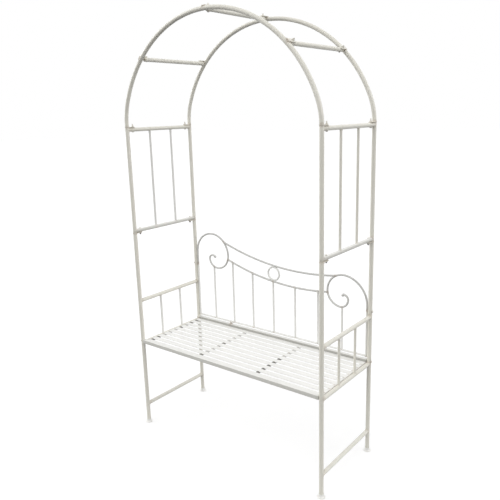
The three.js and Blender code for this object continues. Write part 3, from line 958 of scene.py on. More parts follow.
@dataclass(frozen=True)
class Plan:
    """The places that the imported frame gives, the joint plates' sizes and the gap between pieces."""

    half_span: float
    half_depth: float
    leg_radius: float
    tube_radius: float
    bar_radius: float
    leg_base: float
    leg_top: float
    post_base: float
    post_top: float
    stretcher_height: float
    side_rail_height: float
    arm_height: float
    trellis_low: float
    trellis_high: float
    bar_offset: float
    seat_height: float
    bolt_offset: float
    hoop_base: float
    plate_thickness: float = 0.003
    plate_reach: float = 0.035
    plate_margin: float = 0.0005
    gap: float = 0.0003

    @classmethod
    def measured(cls) -> "Plan":
        """Reads the places from the frame's boxes.

        Returns:
            The plan.
        """
        post_low, post_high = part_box("trellis_post_front_right")
        leg_low, leg_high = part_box("leg_front_right")
        bar_low, bar_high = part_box("arm_bar_right_front")
        post = middle("trellis_post_front_right")
        return cls(
            half_span=post[0],
            half_depth=-post[1],
            leg_radius=(leg_high.x - leg_low.x) / 2.0,
            tube_radius=(post_high.x - post_low.x) / 2.0,
            bar_radius=max(bar_high.x - bar_low.x, bar_high.y - bar_low.y) / 2.0,
            leg_base=leg_low.z,
            leg_top=leg_high.z,
            post_base=post_low.z,
            post_top=post_high.z,
            stretcher_height=middle("low_stretcher_right")[2],
            side_rail_height=middle("seat_side_rail_right")[2],
            arm_height=middle("arm_rail_right")[2],
            trellis_low=middle("trellis_bottom_rail_right")[2],
            trellis_high=middle("trellis_top_rail_right")[2],
            bar_offset=middle("arm_bar_right_back")[1],
            seat_height=middle("seat_rail_front")[2],
            bolt_offset=middle("upper_joint_bolt_back_right")[1],
            hoop_base=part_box("hoop_front")[0].z,
        )

    def post(self, side: Side, row: Row, height: float) -> Array:
        """Returns the place on a post's axis at a height."""
        return point(side.value * self.half_span, row.value * self.half_depth, height)

    def add_plate(self, sketch: Sketch, row: Row, place: Array) -> None:
        """Adds a joint plate, which reaches from its post to the middle.

        Args:
            sketch: The sketch of the piece that it is welded to.
            row: The post's row.
            place: The middle of its round end, on its lower face.
        """
        outline = round_ended(self.tube_radius + self.plate_margin, self.plate_reach)
        axes = (ALONG * -row.value, INWARD * -row.value, UP)
        sketch.prism(outline, place, axes, self.plate_thickness)


@dataclass(frozen=True)
class Assembly:
    """A sub-assembly, with the plan that it is built to and the workshop that dresses it."""

    plan: Plan
    shop: Workshop


@dataclass(frozen=True)
class SideFrame(Assembly):
    """One side of the seat: two legs, three rails between them and the two bars under the arm."""

    side: Side
    bar_stain: float = 0.020
    bolt_stain: float = 0.022

    def spot(self, row: Row, offset: float, height: float) -> Array:
        """Returns a place of this side, at an offset from the middle towards a row."""
        return point(self.side.value * self.plan.half_span, row.value * offset, height)

    def mark(self) -> None:
        """Marks this side's welds and bolt holes."""
        plan, joint = self.plan, self.shop.joint
        for row in Row:
            for height in (plan.stretcher_height, plan.side_rail_height, plan.arm_height):
                joint(self.spot(row, plan.half_depth - plan.leg_radius, height))
            joint(self.spot(row, plan.half_depth, plan.leg_top))
            outer = ALONG * self.side.value * plan.leg_radius
            joint(self.spot(row, plan.half_depth, plan.seat_height) + outer, self.bar_stain)
            for height in (plan.side_rail_height, plan.arm_height):
                joint(self.spot(row, plan.bar_offset, height), self.bar_stain)
            joint(self.spot(row, plan.bolt_offset, plan.leg_top), self.bolt_stain)

    def _leg(self, row: Row) -> Sketch:
        """Builds one leg with the joint plate that closes it.

        Args:
            row: The row that the leg stands in.

        Returns:
            The leg's bodies.
        """
        plan = self.plan
        base, under = (
            self.spot(row, plan.half_depth, height)
            for height in (plan.leg_base, plan.leg_top - plan.plate_thickness)
        )
        sketch = Sketch()
        sketch.tube(base, under + UP * LAP, plan.leg_radius, TUBE_SIDES)
        plan.add_plate(sketch, row, under)
        sketch.collar(under, plan.leg_radius, -UP)
        return sketch

    def _rail(self, height: float, post_radius: float) -> Sketch:
        """Builds a rail that is coped and welded between two posts.

        Args:
            height: The rail's height.
            post_radius: The radius of the posts.

        Returns:
            The rail's bodies.
        """
        cope = Cope(UP, post_radius)
        sketch = Sketch()
        ends = (self.spot(row, self.plan.half_depth, height) for row in Row)
        sketch.tube(*ends, self.plan.tube_radius, TUBE_SIDES, cope, cope)
        return sketch

    def _bars(self, node: str, low: float, high: float) -> None:
        """Builds and dresses the two upright bars that are coped and welded between two rails.

        Args:
            node: What the nodes' names start with.
            low: The height of the lower rail.
            high: The height of the upper rail.
        """
        cope = Cope(INWARD, self.plan.tube_radius, BAR_WELD)
        # Painted light: the left side's bars take the paler lit copy of the paint, the right side's the frame
        # paint.
        look = Look.PALE_RODS if self.side is Side.LEFT else Look.FRAME
        for row in Row:
            sketch = Sketch()
            ends = (self.spot(row, self.plan.bar_offset, height) for height in (low, high))
            sketch.tube(*ends, self.plan.bar_radius, ROD_SIDES, cope, cope)
            self.shop.remake("welded", f"{node}_{self.side.label}_{row.label}", sketch, look)

    def build(self) -> None:
        """Builds and dresses this side."""
        plan, label = self.plan, self.side.label
        for row in Row:
            self.shop.remake("welded", f"leg_{row.label}_{label}", self._leg(row))
        heights = {
            "low_stretcher": plan.stretcher_height,
            "seat_side_rail": plan.side_rail_height,
            "arm_rail": plan.arm_height,
        }
        for node, height in heights.items():
            self.shop.remake("welded", f"{node}_{label}", self._rail(height, plan.leg_radius))
        self._bars("arm_bar", plan.side_rail_height, plan.arm_height)


@dataclass(frozen=True)
class TrellisPanel(SideFrame):
    """One side's trellis panel: two posts, two rails and two bars."""

    tail_drop: float = 0.021
    tail_shade_reach: float = 0.019

    def mark(self) -> None:
        """Marks this panel's welds and bolt holes, and the painted shade under each lower bolt's tail."""
        plan, joint = self.plan, self.shop.joint
        for row in Row:
            for height in (plan.trellis_low, plan.trellis_high):
                joint(self.spot(row, plan.half_depth - plan.tube_radius, height))
                joint(self.spot(row, plan.bar_offset, height), self.bar_stain)
            joint(self.spot(row, plan.bolt_offset, plan.hoop_base), self.bolt_stain)
            # Painted shade under the rail at each lower bolt's tail; it darkens the tail and what lies near
            # it.
            joint(self.spot(row, plan.bolt_offset, plan.trellis_low - self.tail_drop), self.tail_shade_reach)
            joint(self.spot(row, plan.half_depth, plan.hoop_base))

    def build(self) -> None:
        """Builds and dresses this panel."""
        plan, label = self.plan, self.side.label
        for row in Row:
            sketch = Sketch()
            ends = (self.spot(row, plan.half_depth, height) for height in (plan.post_base, plan.post_top))
            sketch.tube(*ends, plan.tube_radius, TUBE_SIDES)
            self.shop.remake("welded", f"trellis_post_{row.label}_{label}", sketch)
        # The bottom rail takes the painted lit top over painted shaded sides; the top rail takes the plain
        # frame paint.
        rails = (("bottom", plan.trellis_low, Look.BLEACHED), ("top", plan.trellis_high, Look.FRAME))
        for place, height, look in rails:
            rail = self._rail(height, plan.tube_radius)
            self.shop.remake("welded", f"trellis_{place}_rail_{label}", rail, look)
        self._bars("trellis_bar", plan.trellis_low, plan.trellis_high)


@dataclass(frozen=True)
class Arch(Assembly):
    """The two hoops over the seat and the three crossbars between them."""

    rise_share: float = 0.8634
    haunch_share: float = 0.5612
    lean_share: float = 0.03
    straight: float = 0.002
    crossbar_inset: float = 0.143
    crossbar_gap: float = 0.009
    bolt_inset: float = 0.0277
    holder_length: float = 0.046
    holder_overhang: float = 0.005
    holder_half_width: float = 0.010
    holder_corner: float = 0.0025
    holder_weld: float = 0.0019
    holder_weld_offset: float = 0.0049
    holder_weld_rise: float = 0.0088
    holder_stain: float = 0.028
    bolt_stain: float = 0.024
    haunch_steps: int = 28
    crown_steps: int = 96

    @property
    def spring(self) -> float:
        """The height at which the hoops start to bend."""
        return self.plan.hoop_base + self.plan.plate_thickness + self.straight

    @property
    def haunch_radius(self) -> float:
        """The radius of the bends over the posts."""
        return self.haunch_share * self.plan.half_span

    @property
    def crown(self) -> tuple[float, float]:
        """The crown arc's radius and the height of its centre."""
        span, haunch = self.plan.half_span, self.haunch_radius
        rise = self.rise_share * span
        radius = (span**2 + rise**2 - 2.0 * span * haunch) / (2.0 * (rise - haunch))
        return radius, self.spring + rise - radius

    def _leaned(self, points: Array) -> Array:
        """Returns points moved to the left, more so the higher they are."""
        rise = points[..., 2] - self.plan.hoop_base
        return points - ALONG * (self.lean_share * rise)[..., None]

    def crossbar_places(self) -> list[tuple[str, float]]:
        """Spaces the crossbars on the arch.

        Returns:
            Each crossbar's name and its turn from the top of the arch.
        """
        offset = self.plan.half_span - self.crossbar_inset
        turn = math.asin(offset / self.crown[0])
        return [("left", -turn), ("crown", 0.0), ("right", turn)]

    def local(self, turn: float) -> tuple[Array, Array, Array]:
        """Finds a place on the arch's centre line.

        Args:
            turn: The angle from the top of the arch.

        Returns:
            The place at mid depth, the direction along the hoop and the direction away from the arch.
        """
        radius, centre = self.crown
        place = self._leaned(point(radius * math.sin(turn), 0.0, centre + radius * math.cos(turn)))
        tilt = math.atan2(math.sin(turn), math.cos(turn) + self.lean_share * math.sin(turn))
        run = point(math.cos(tilt), 0.0, -math.sin(tilt))
        return place, run, point(math.sin(tilt), 0.0, math.cos(tilt))

    def mark(self) -> None:
        """Marks the arch's welds and bolt holes."""
        for _, turn in self.crossbar_places():
            place, _, out = self.local(turn)
            for row in Row:
                y = row.value * self.plan.half_depth
                self.shop.joint(place + out * self.plan.tube_radius + INWARD * y, self.holder_stain)
                self.shop.joint(place + INWARD * (y - row.value * self.bolt_inset), self.bolt_stain)

    def _hoop_path(self) -> Array:
        """Lays a hoop's centre line at mid depth.

        Returns:
            The points, from the left foot to the right one.
        """
        span, spring = self.plan.half_span, self.spring
        haunch, steps = self.haunch_radius, self.haunch_steps
        haunch_x = span - haunch
        radius, centre = self.crown
        meeting = math.atan2(spring - centre, haunch_x)
        foot = self.plan.hoop_base + self.plan.plate_thickness - LAP
        rising = Arc((-haunch_x, spring), haunch, math.pi, math.pi - meeting).path(steps)
        over = Arc((0.0, centre), radius, math.pi - meeting, meeting).path(self.crown_steps)[1:-1]
        falling = Arc((haunch_x, spring), haunch, meeting, 0.0).path(steps)
        feet = point(-span, 0.0, foot), point(span, 0.0, foot)
        return self._leaned(np.vstack([feet[0], rising, over, falling, feet[1]]))

    def _add_holder(self, sketch: Sketch, row: Row, turn: float) -> None:
        """Adds the plate that holds a crossbar to a hoop, with its welds.

        Args:
            sketch: The hoop's sketch.
            row: The hoop's row.
            turn: The crossbar's angle from the top of the arch.
        """
        place, run, out = self.local(turn)
        inward = INWARD * -row.value
        base = place - inward * self.plan.half_depth
        half, low = self.holder_half_width, self.plan.tube_radius + self.plan.gap
        far = self.holder_length - self.holder_overhang
        outline = rounded_box((-half, -self.holder_overhang), (half, far), self.holder_corner)
        sketch.prism(outline, base + out * low, (run, inward, out), self.plan.plate_thickness)
        for sign in (-1.0, 1.0):
            weld = base + inward * sign * self.holder_weld_offset + out * self.holder_weld_rise
            tube_side = unit(inward * sign * 0.6 + out * 0.8)
            sketch.tack(weld, run * half * 0.8, tube_side, -out, self.holder_weld)

    def _hoop(self, row: Row) -> Sketch:
        """Builds a hoop with its foot plates and its crossbar plates.

        Args:
            row: The hoop's row.

        Returns:
            The hoop's bodies.
        """
        plan, sketch = self.plan, Sketch()
        sketch.sweep(self._hoop_path() + INWARD * row.value * plan.half_depth, plan.tube_radius, TUBE_SIDES)
        for side in Side:
            foot = plan.post(side, row, plan.hoop_base)
            plan.add_plate(sketch, row, foot)
            sketch.collar(foot + UP * plan.plate_thickness, plan.tube_radius, UP)
        for _, turn in self.crossbar_places():
            self._add_holder(sketch, row, turn)
        return sketch

    def build(self) -> None:
        """Builds and dresses the arch."""
        plan = self.plan
        for row in Row:
            self.shop.remake("welded", f"hoop_{row.label}", self._hoop(row))
        half = INWARD * (plan.half_depth - plan.tube_radius - self.crossbar_gap)
        for place, turn in self.crossbar_places():
            centre, sketch = self.local(turn)[0], Sketch()
            sketch.tube(centre - half, centre + half, plan.tube_radius, TUBE_SIDES)
            self.shop.remake("round", f"crossbar_{place}", sketch)


class Grime(Enum):
    """How deep the painted shade is on a part of a bearer, as one letter of the seat's list of grades."""

    GRIMY = "g"
    DULL = "d"
    CLEAN = "c"

    @property
    def look(self) -> Look:
        """Returns the finish of this grade."""
        return {Grime.GRIMY: Look.BEARERS, Grime.DULL: Look.SCROLLS, Grime.CLEAN: Look.SLATS}[self]


@dataclass(frozen=True)
class Seat(Assembly):
    """The two square rails and the slats on their bearers, whose painted shade under the slats is given gap
    by gap from the front.
    """

    corner_radius: float = 0.0022
    rail_chamfer: float = 0.0004
    slat_count: int = 10
    slat_width: float = 0.029
    slat_pitch: float = 0.0424
    slat_depth: float = 0.003
    slat_wall: float = 0.0011
    slat_bend: float = 0.0016
    slat_crown: float = 0.00016
    slat_shoulder: float = 0.00012
    slat_sag: float = 0.00012
    bearer_count: int = 4
    bearer_width: float = 0.016
    bearer_depth: float = 0.006
    bearer_corner: float = 0.0009
    bearer_bevel: float = 0.0003
    bearer_lap: float = 0.0005
    # Painted shade under the slats: for each bearer, one letter for each part from the front; g deep, d half,
    # c none.
    bearer_grime: tuple[str, ...] = ("ggdddgdgg", "gdddgdddd", "gggggdddd", "ccccccccc")
    tack_share: float = 0.36
    tack_stain: float = 0.009
    bearer_stain: float = 0.016

    @property
    def grille(self) -> tuple[Vector, Vector]:
        """The box of the frame's slat grille."""
        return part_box("seat_slat_grille")

    @property
    def bearers(self) -> Array:
        """The place of each bearer along X."""
        first = self.grille[1].x - self.bearer_width / 2.0
        return np.linspace(-first, first, self.bearer_count)

    @property
    def slats(self) -> Array:
        """The place of each slat along Y."""
        return (np.arange(self.slat_count) - (self.slat_count - 1) / 2.0) * self.slat_pitch

    @property
    def slat_edges(self) -> list[float]:
        """The place along Y of each slat's front edge and back edge."""
        return [y + edge * self.slat_width for y in self.slats for edge in (-0.5, 0.5)]

    def mark(self) -> None:
        """Marks the places where bearers meet slats and rails."""
        low, high = self.grille
        for x in self.bearers:
            for y in self.slat_edges:
                self.shop.joint(point(x, y, high.z - self.slat_depth), self.tack_stain)
            for y in (low.y, high.y):
                self.shop.joint(point(x, y, low.z), self.bearer_stain)

    def _rail(self, row: Row) -> Sketch:
        """Builds a square rail with chamfered ends.

        Args:
            row: The rail's row.

        Returns:
            The rail's bodies.
        """
        low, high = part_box(f"seat_rail_{row.label}")
        half, chamfer = (high.z - low.z) / 2.0, self.rail_chamfer
        section = rounded_box((-half, -half), (half, half), self.corner_radius) @ np.array([INWARD, UP])
        centre = point(0.0, (low.y + high.y) / 2.0, (low.z + high.z) / 2.0)
        places = straight_path(ALONG * low.x, ALONG * high.x)[:, 0]
        rings = [(places[0], 1.0 - chamfer / half), (places[0] + chamfer, 1.0)]
        rings += [(x, 1.0) for x in places[1:-1]]
        rings += [(places[-1] - chamfer, 1.0), (places[-1], 1.0 - chamfer / half)]
        sketch = Sketch()
        sketch.skin(np.array([centre + ALONG * x + section * scale for x, scale in rings]))
        return sketch

    def _add_slat(self, sketch: Sketch, y: float) -> None:
        """Adds a slat: a strip whose two long edges are turned down.

        Args:
            sketch: The slats' sketch.
            y: The slat's place along Y.
        """
        low, high = self.grille
        half, depth, wall, bend = self.slat_width / 2.0, self.slat_depth, self.slat_wall, self.slat_bend
        shoulder = [(-half * 0.5, self.slat_shoulder - self.slat_crown)]
        for turn in np.linspace(0.5, 0.0, 6) * math.pi:
            x = -half + bend - bend * math.cos(turn)
            shoulder.append((x, -bend + bend * math.sin(turn) - self.slat_crown))
        shoulder.append((-half, -depth))
        rim = np.array([*reversed(shoulder), (0.0, 0.0), *((-x, z) for x, z in shoulder)])
        inner_z = np.clip(rim[:, 1] - wall, -depth, -wall)
        inner = np.stack([rim[:, 0] * (half - wall) / half, inner_z], axis=1)
        section = np.vstack([rim, inner[::-1]])
        top_side = section[:, 1] > -depth * 0.9
        rings = []
        for x in straight_path(ALONG * low.x, ALONG * high.x, 0.0125)[:, 0]:
            sag = abs(self.slat_sag * math.sin(x * 9.0 + y * 55.0))
            heights = high.z + section[:, 1] - sag * top_side
            rings.append(np.stack([np.full(len(section), x), y + section[:, 0], heights], axis=1))
        rows, sides = len(rings), len(section)
        faces = quads(rows, sides)[:-1].reshape(-1, 4).tolist()
        for start in (0, (rows - 1) * sides):
            for place in range(len(rim) - 1):
                opposite = start + sides - 1 - place
                faces.append([start + place, start + place + 1, opposite - 1, opposite])
        sketch.add(np.vstack(rings), faces)

    def _bearers(self, grime: Grime) -> Sketch:
        """Builds the parts of the bearers that have one grade of painted shade, and the small welds on them.

        Args:
            grime: The grade. Parts of unlike grade meet under the middle of a slat.

        Returns:
            Their bodies.
        """
        low, high = self.grille
        cuts = [low.y, *self.slats[1:-1], high.y]
        top, half = high.z - self.slat_depth + self.bearer_lap, self.bearer_width / 2.0
        outline = rounded_box((-half, -self.bearer_depth), (half, 0.0), self.bearer_corner)
        axes, weld_reach = (ALONG, UP, INWARD), ALONG * self.bearer_width * self.tack_share
        sketch = Sketch()
        for x, grades in zip(self.bearers, self.bearer_grime):
            for run in re.finditer(f"{grime.value}+", grades):
                start, stop = cuts[run.start()], cuts[run.end()]
                sketch.prism(outline, point(x, start, top), axes, stop - start, self.bearer_bevel)
                for index, y in enumerate(self.slat_edges):
                    if start < y < stop:
                        away = INWARD * (index % 2 * 2.0 - 1.0)
                        sketch.tack(point(x, y, top), weld_reach, away, UP, ROD_WELD)
        return sketch

    def build(self) -> None:
        """Builds and dresses the seat."""
        # Painted light and shade: the front rail takes the painted lit top over painted shaded sides, the
        # back rail a darker painted shade on its front.
        for row, look in ((Row.FRONT, Look.BLEACHED), (Row.BACK, Look.REAR_RAIL)):
            name = f"seat_rail_{row.label}"
            self.shop.dress(f"square_{name}", self._rail(row), look, [name], sharp=50.0)
        sketch = Sketch()
        for y in self.slats:
            self._add_slat(sketch, y)
        self.shop.dress("welded_seat_slats", sketch, Look.SLATS, ["seat_slat_grille"], sharp=40.0)
        # Each grade of painted shade is its own piece.
        for grime in Grime:
            name = f"seat_bearers_{grime.name.lower()}"
            self.shop.dress(name, self._bearers(grime), grime.look, sharp=40.0)


@dataclass(frozen=True)
class Scroll:
    """A side's scroll: its heights over the bottom rod and the radii of its turns, from the stile inwards."""

    rise: float
    stud_rise: float
    radii: tuple[float, ...]


@dataclass(frozen=True)
class SaggingRail:
    """A rail between the scrolls: its height at the middle, and the turn that it meets and where on it."""

    rise: float
    turn: int
    shares: tuple[float, float]


@dataclass(frozen=True)
class SeatBack(Assembly):
    """The scrolled back: two stiles, two sagging rails with a ring, and seven balusters on a bottom rod."""

    rod_radius: float = 0.005
    rod_rise: float = 0.024
    slope_share: float = 0.127
    stile_inset: float = 0.016
    left: Scroll = Scroll(0.3088, 0.3065, (0.1288, 0.0968, 0.0916, 0.0427, 0.024))
    right: Scroll = Scroll(0.3195, 0.2275, (0.112, 0.0995, 0.0646, 0.0481, 0.0181))
    curl_turn_share: float = 0.75
    upper: SaggingRail = SaggingRail(0.3673, 1, (0.49, 0.35))
    lower: SaggingRail = SaggingRail(0.2813, 2, (0.155, 0.1))
    ring_sink: float = 0.0015
    ring_weld_reach: float = 0.010
    end_bay: float = 0.126
    baluster_shift: float = 0.0045
    baluster_count: int = 7
    stud_radius: float = 0.003
    clip_inset: float = 0.229
    clip_radius: float = 0.006
    clip_flange: tuple[tuple[float, float], ...] = (
        (0.0045, 0.0), (0.0074, 0.0), (0.0078, 0.0004), (0.0078, 0.0012), (0.0072, 0.0018), (0.0045, 0.0018)
    )
    knob_radius: float = 0.0072
    knob_length: float = 0.020
    baluster_stain: float = 0.016
    foot_stain: float = 0.014
    stile_stain: float = 0.016
    stud_stain: float = 0.024
    rail_stain: float = 0.020
    clip_stain: float = 0.030
    clip_stain_drop: float = 0.012
    turn_steps: int = 26
    rail_steps: int = 56
    ring_steps: int = 56
    ring_sides: int = 20
    stud_sides: int = 20
    turned_sides: int = 28

    @property
    def y(self) -> float:
        """The back's place along Y."""
        return self.plan.half_depth

    @property
    def rod_height(self) -> float:
        """The height of the bottom rod."""
        return self.plan.seat_height + self.rod_rise

    @property
    def stile_x(self) -> float:
        """The stiles' distance from the middle."""
        return self.plan.half_span - self.stile_inset

    @property
    def clip_x(self) -> float:
        """The clips' distance from the middle."""
        return self.stile_x - self.clip_inset

    def _cope(self, axis: Array) -> Cope:
        """Returns the surface of a rod that another one is welded to."""
        return Cope(axis, self.rod_radius, ROD_WELD)

    def _scroll(self, side: Side) -> Scroll:
        """Returns the sizes of a side's scroll."""
        return self.left if side is Side.LEFT else self.right

    def stud(self, side: Side) -> Array:
        """Returns the place on a stile's axis where its stud starts."""
        height = self.rod_height + self._scroll(side).stud_rise
        return point(side.value * self.stile_x, self.y, height)

    def _placed(self, path: Array) -> Array:
        """Returns points in the back's plane with its slope, which lowers them along X."""
        return path + INWARD * self.y - UP * (self.slope_share * path[..., 0])[..., None]

    def _turns(self, side: Side) -> list[Arc]:
        """Works out the turns of a scroll before the slope, each from where the last one ends.

        Args:
            side: The scroll's side.

        Returns:
            The quarter turns and the curl.
        """
        scroll, quarter = self._scroll(side), math.pi / 2.0
        tip = point(self.stile_x, 0.0, self.rod_height + scroll.rise)
        turns = []
        for index, radius in enumerate(scroll.radii):
            start = index * quarter
            sweep = quarter if index < len(scroll.radii) - 1 else self.curl_turn_share * math.pi
            x, _, z = tip - radius * point(math.cos(start), 0.0, math.sin(start))
            turn = Arc((x, z), radius, start, start + sweep)
            tip = turn.at(1.0)
            if side is Side.LEFT:
                turn = Arc((-x, z), radius, math.pi - start, math.pi - start - sweep)
            turns.append(turn)
        return turns

    def _stile_paths(self, side: Side) -> tuple[Array, Array]:
        """Lays a stile that rises beside its post and rolls inwards into a scroll.

        Args:
            side: The stile's side.

        Returns:
            The points from its foot to its stud, and from there to the end of its scroll.
        """
        turns = self._turns(side)
        x = side.value * self.stile_x
        foot, stud = (
            point(x, 0.0, height + self.slope_share * x)
            for height in (self.rod_height - self.rod_radius, self.stud(side)[2])
        )
        rolls = [turn.path(self.turn_steps)[1:] for turn in turns]
        rolled = np.vstack([straight_path(stud, turns[0].at(0.0)), *rolls])
        return self._placed(straight_path(foot, stud)), self._placed(rolled)

    def _rail(self, rail: SaggingRail) -> Arc:
        """Returns a sagging rail's centre line before the slope, as an arc from scroll to scroll."""
        left, right = (self._turns(side)[rail.turn].at(share) for side, share in zip(Side, rail.shares))
        return arc_through(left, point(0.0, 0.0, self.rod_height + rail.rise), right)

    def _baluster_tops(self) -> list[tuple[Array, Array]]:
        """Finds what each baluster is welded to.

        Returns:
            The point on the axis of the rail or scroll above each baluster, and that axis' direction.
        """
        middle_index = (self.baluster_count - 1) / 2.0
        pitch = (self.stile_x - self.end_bay) / middle_index
        rail = self._rail(self.lower)
        tops = []
        for index in range(self.baluster_count):
            x = (index - middle_index) * pitch - self.baluster_shift
            side = Side.LEFT if x < 0.0 else Side.RIGHT
            _, _, inner, base, _ = self._turns(side)
            over = rail
            if side.value * (x - rail.at(float(side is Side.RIGHT))[0]) > 0.0:
                over = inner if side.value * (x - inner.centre[0]) < 0.0 else base
            near = [point(place, 0.0, over.low_side(place)) for place in (x - 0.001, x, x + 0.001)]
            before, at, after = self._placed(np.array(near))
            tops.append((at, unit(after - before)))
        return tops

    def mark(self) -> None:
        """Marks the back's welds and bolts."""
        joint, rod = self.shop.joint, self.rod_height
        for top, _ in self._baluster_tops():
            joint(top, self.baluster_stain)
            joint(point(top[0], self.y, rod), self.foot_stain)
        for side in Side:
            stud = self.stud(side)
            joint(stud, self.stud_stain)
            joint(self.plan.post(side, Row.BACK, stud[2]), self.stud_stain)
            joint(point(side.value * self.stile_x, self.y, rod), self.stile_stain)
            joint(point(side.value * self.clip_x, self.y, rod - self.clip_stain_drop), self.clip_stain)
            for rail in (self.upper, self.lower):
                joint(self._placed(self._rail(rail).at(float(side is Side.RIGHT))), self.rail_stain)

    def _add_curl(self, sketch: Sketch, side: Side) -> None:
        """Adds a stile's scroll and the knob at its end.

        Args:
            sketch: The scroll's sketch.
            side: The scroll's side.
        """
        path = self._stile_paths(side)[1]
        sketch.sweep(path, self.rod_radius, ROD_SIDES, End.FLAT, End.DOMED)
        heading = unit(path[-1] - path[-2])
        turns = np.linspace(0.05, 0.95, 14) * math.pi
        radius, half = self.knob_radius, self.knob_length / 2.0
        knob = [(radius * math.sin(turn), -half * math.cos(turn)) for turn in turns]
        sketch.lathe(knob, path[-1] - heading * self.rod_radius, heading, self.turned_sides)

    def _add_stile(self, sketch: Sketch, side: Side) -> None:
        """Adds a stile's straight part and the spacer stud that holds it to its post.

        Args:
            sketch: The stile's sketch.
            side: The stile's side.
        """
        sketch.sweep(self._stile_paths(side)[0], self.rod_radius, ROD_SIDES, End.SQUARE, End.FLAT)
        stud = self.stud(side)
        bored = Cope(UP, self.plan.leg_radius, 0.0)
        post = self.plan.post(side, Row.BACK, stud[2])
        sketch.tube(stud, post, self.stud_radius, self.stud_sides, self._cope(UP), bored)

    def _rails(self) -> Sketch:
        """Builds the two sagging rails.

        Returns:
            Their bodies.
        """
        sketch, upright = Sketch(), self._cope(UP)
        for rail, end in ((self.lower, upright), (self.upper, End.DOMED)):
            path = self._placed(self._rail(rail).path(self.rail_steps))
            sketch.sweep(path, self.rod_radius, ROD_SIDES, end, end)
        return sketch

    def _ring(self) -> Sketch:
        """Builds the ring between the rails, with its welds.

        Returns:
            Their bodies.
        """
        sketch = Sketch()
        radius = (self.upper.rise - self.lower.rise) / 2.0 - 2.0 * self.rod_radius + self.ring_sink
        centre = point(0.0, self.y, self.rod_height + (self.upper.rise + self.lower.rise) / 2.0)
        out = around(ALONG, UP, self.ring_steps)
        section = around(out, INWARD, self.ring_sides)
        sketch.skin(centre + out[:, None, :] * radius + section * self.rod_radius, looped=True)
        depth = math.sqrt(self.rod_radius * self.ring_sink)
        for sign in (-1.0, 1.0):
            contact = centre + UP * sign * (radius + self.rod_radius - self.ring_sink / 2.0)
            for face in (-INWARD, INWARD):
                sides = unit(face + UP * sign), unit(face - UP * sign)
                sketch.tack(contact + face * depth, ALONG * self.ring_weld_reach, *sides, ROD_WELD)
        return sketch

    def _comb(self) -> Sketch:
        """Builds the bottom rod, the balusters and the collars of the two clips.

        Returns:
            Their bodies.
        """
        sketch, upright, level = Sketch(), self._cope(UP), self._cope(ALONG)
        rod = [point(side.value * self.stile_x, self.y, self.rod_height) for side in Side]
        sketch.tube(*rod, self.rod_radius, ROD_SIDES, upright, upright)
        for top, axis in self._baluster_tops():
            foot = point(top[0], self.y, self.rod_height)
            sketch.tube(foot, top, self.rod_radius, ROD_SIDES, level, self._cope(axis))
        rail_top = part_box("seat_rail_back")[1].z
        for side in Side:
            x = side.value * self.clip_x
            foot = point(x, self.y, rail_top + self.plan.gap)
            sketch.tube(point(x, self.y, self.rod_height), foot, self.clip_radius, self.turned_sides, level)
            sketch.lathe(self.clip_flange, foot, UP, self.turned_sides)
        return sketch

    def build(self) -> None:
        """Builds and dresses the back."""
        # Painted light and shade: the stiles' straight parts, the ring and the balusters take the lit copy of
        # the cream paint, the scrolls and the sagging rails the shaded copy.
        for side in Side:
            stile, scroll = Sketch(), Sketch()
            self._add_stile(stile, side)
            self.shop.remake("straight", f"back_stile_{side.label}", stile, Look.PALE_RODS)
            self._add_curl(scroll, side)
            self.shop.dress(f"scroll_{side.label}", scroll, Look.SCROLLS)
        self.shop.dress("welded_back_rails", self._rails(), Look.SCROLLS, ["back_rails_and_ring"])
        self.shop.dress("welded_back_ring", self._ring(), Look.PALE_RODS)
        self.shop.remake("welded", "back_balusters", self._comb(), Look.PALE_RODS)


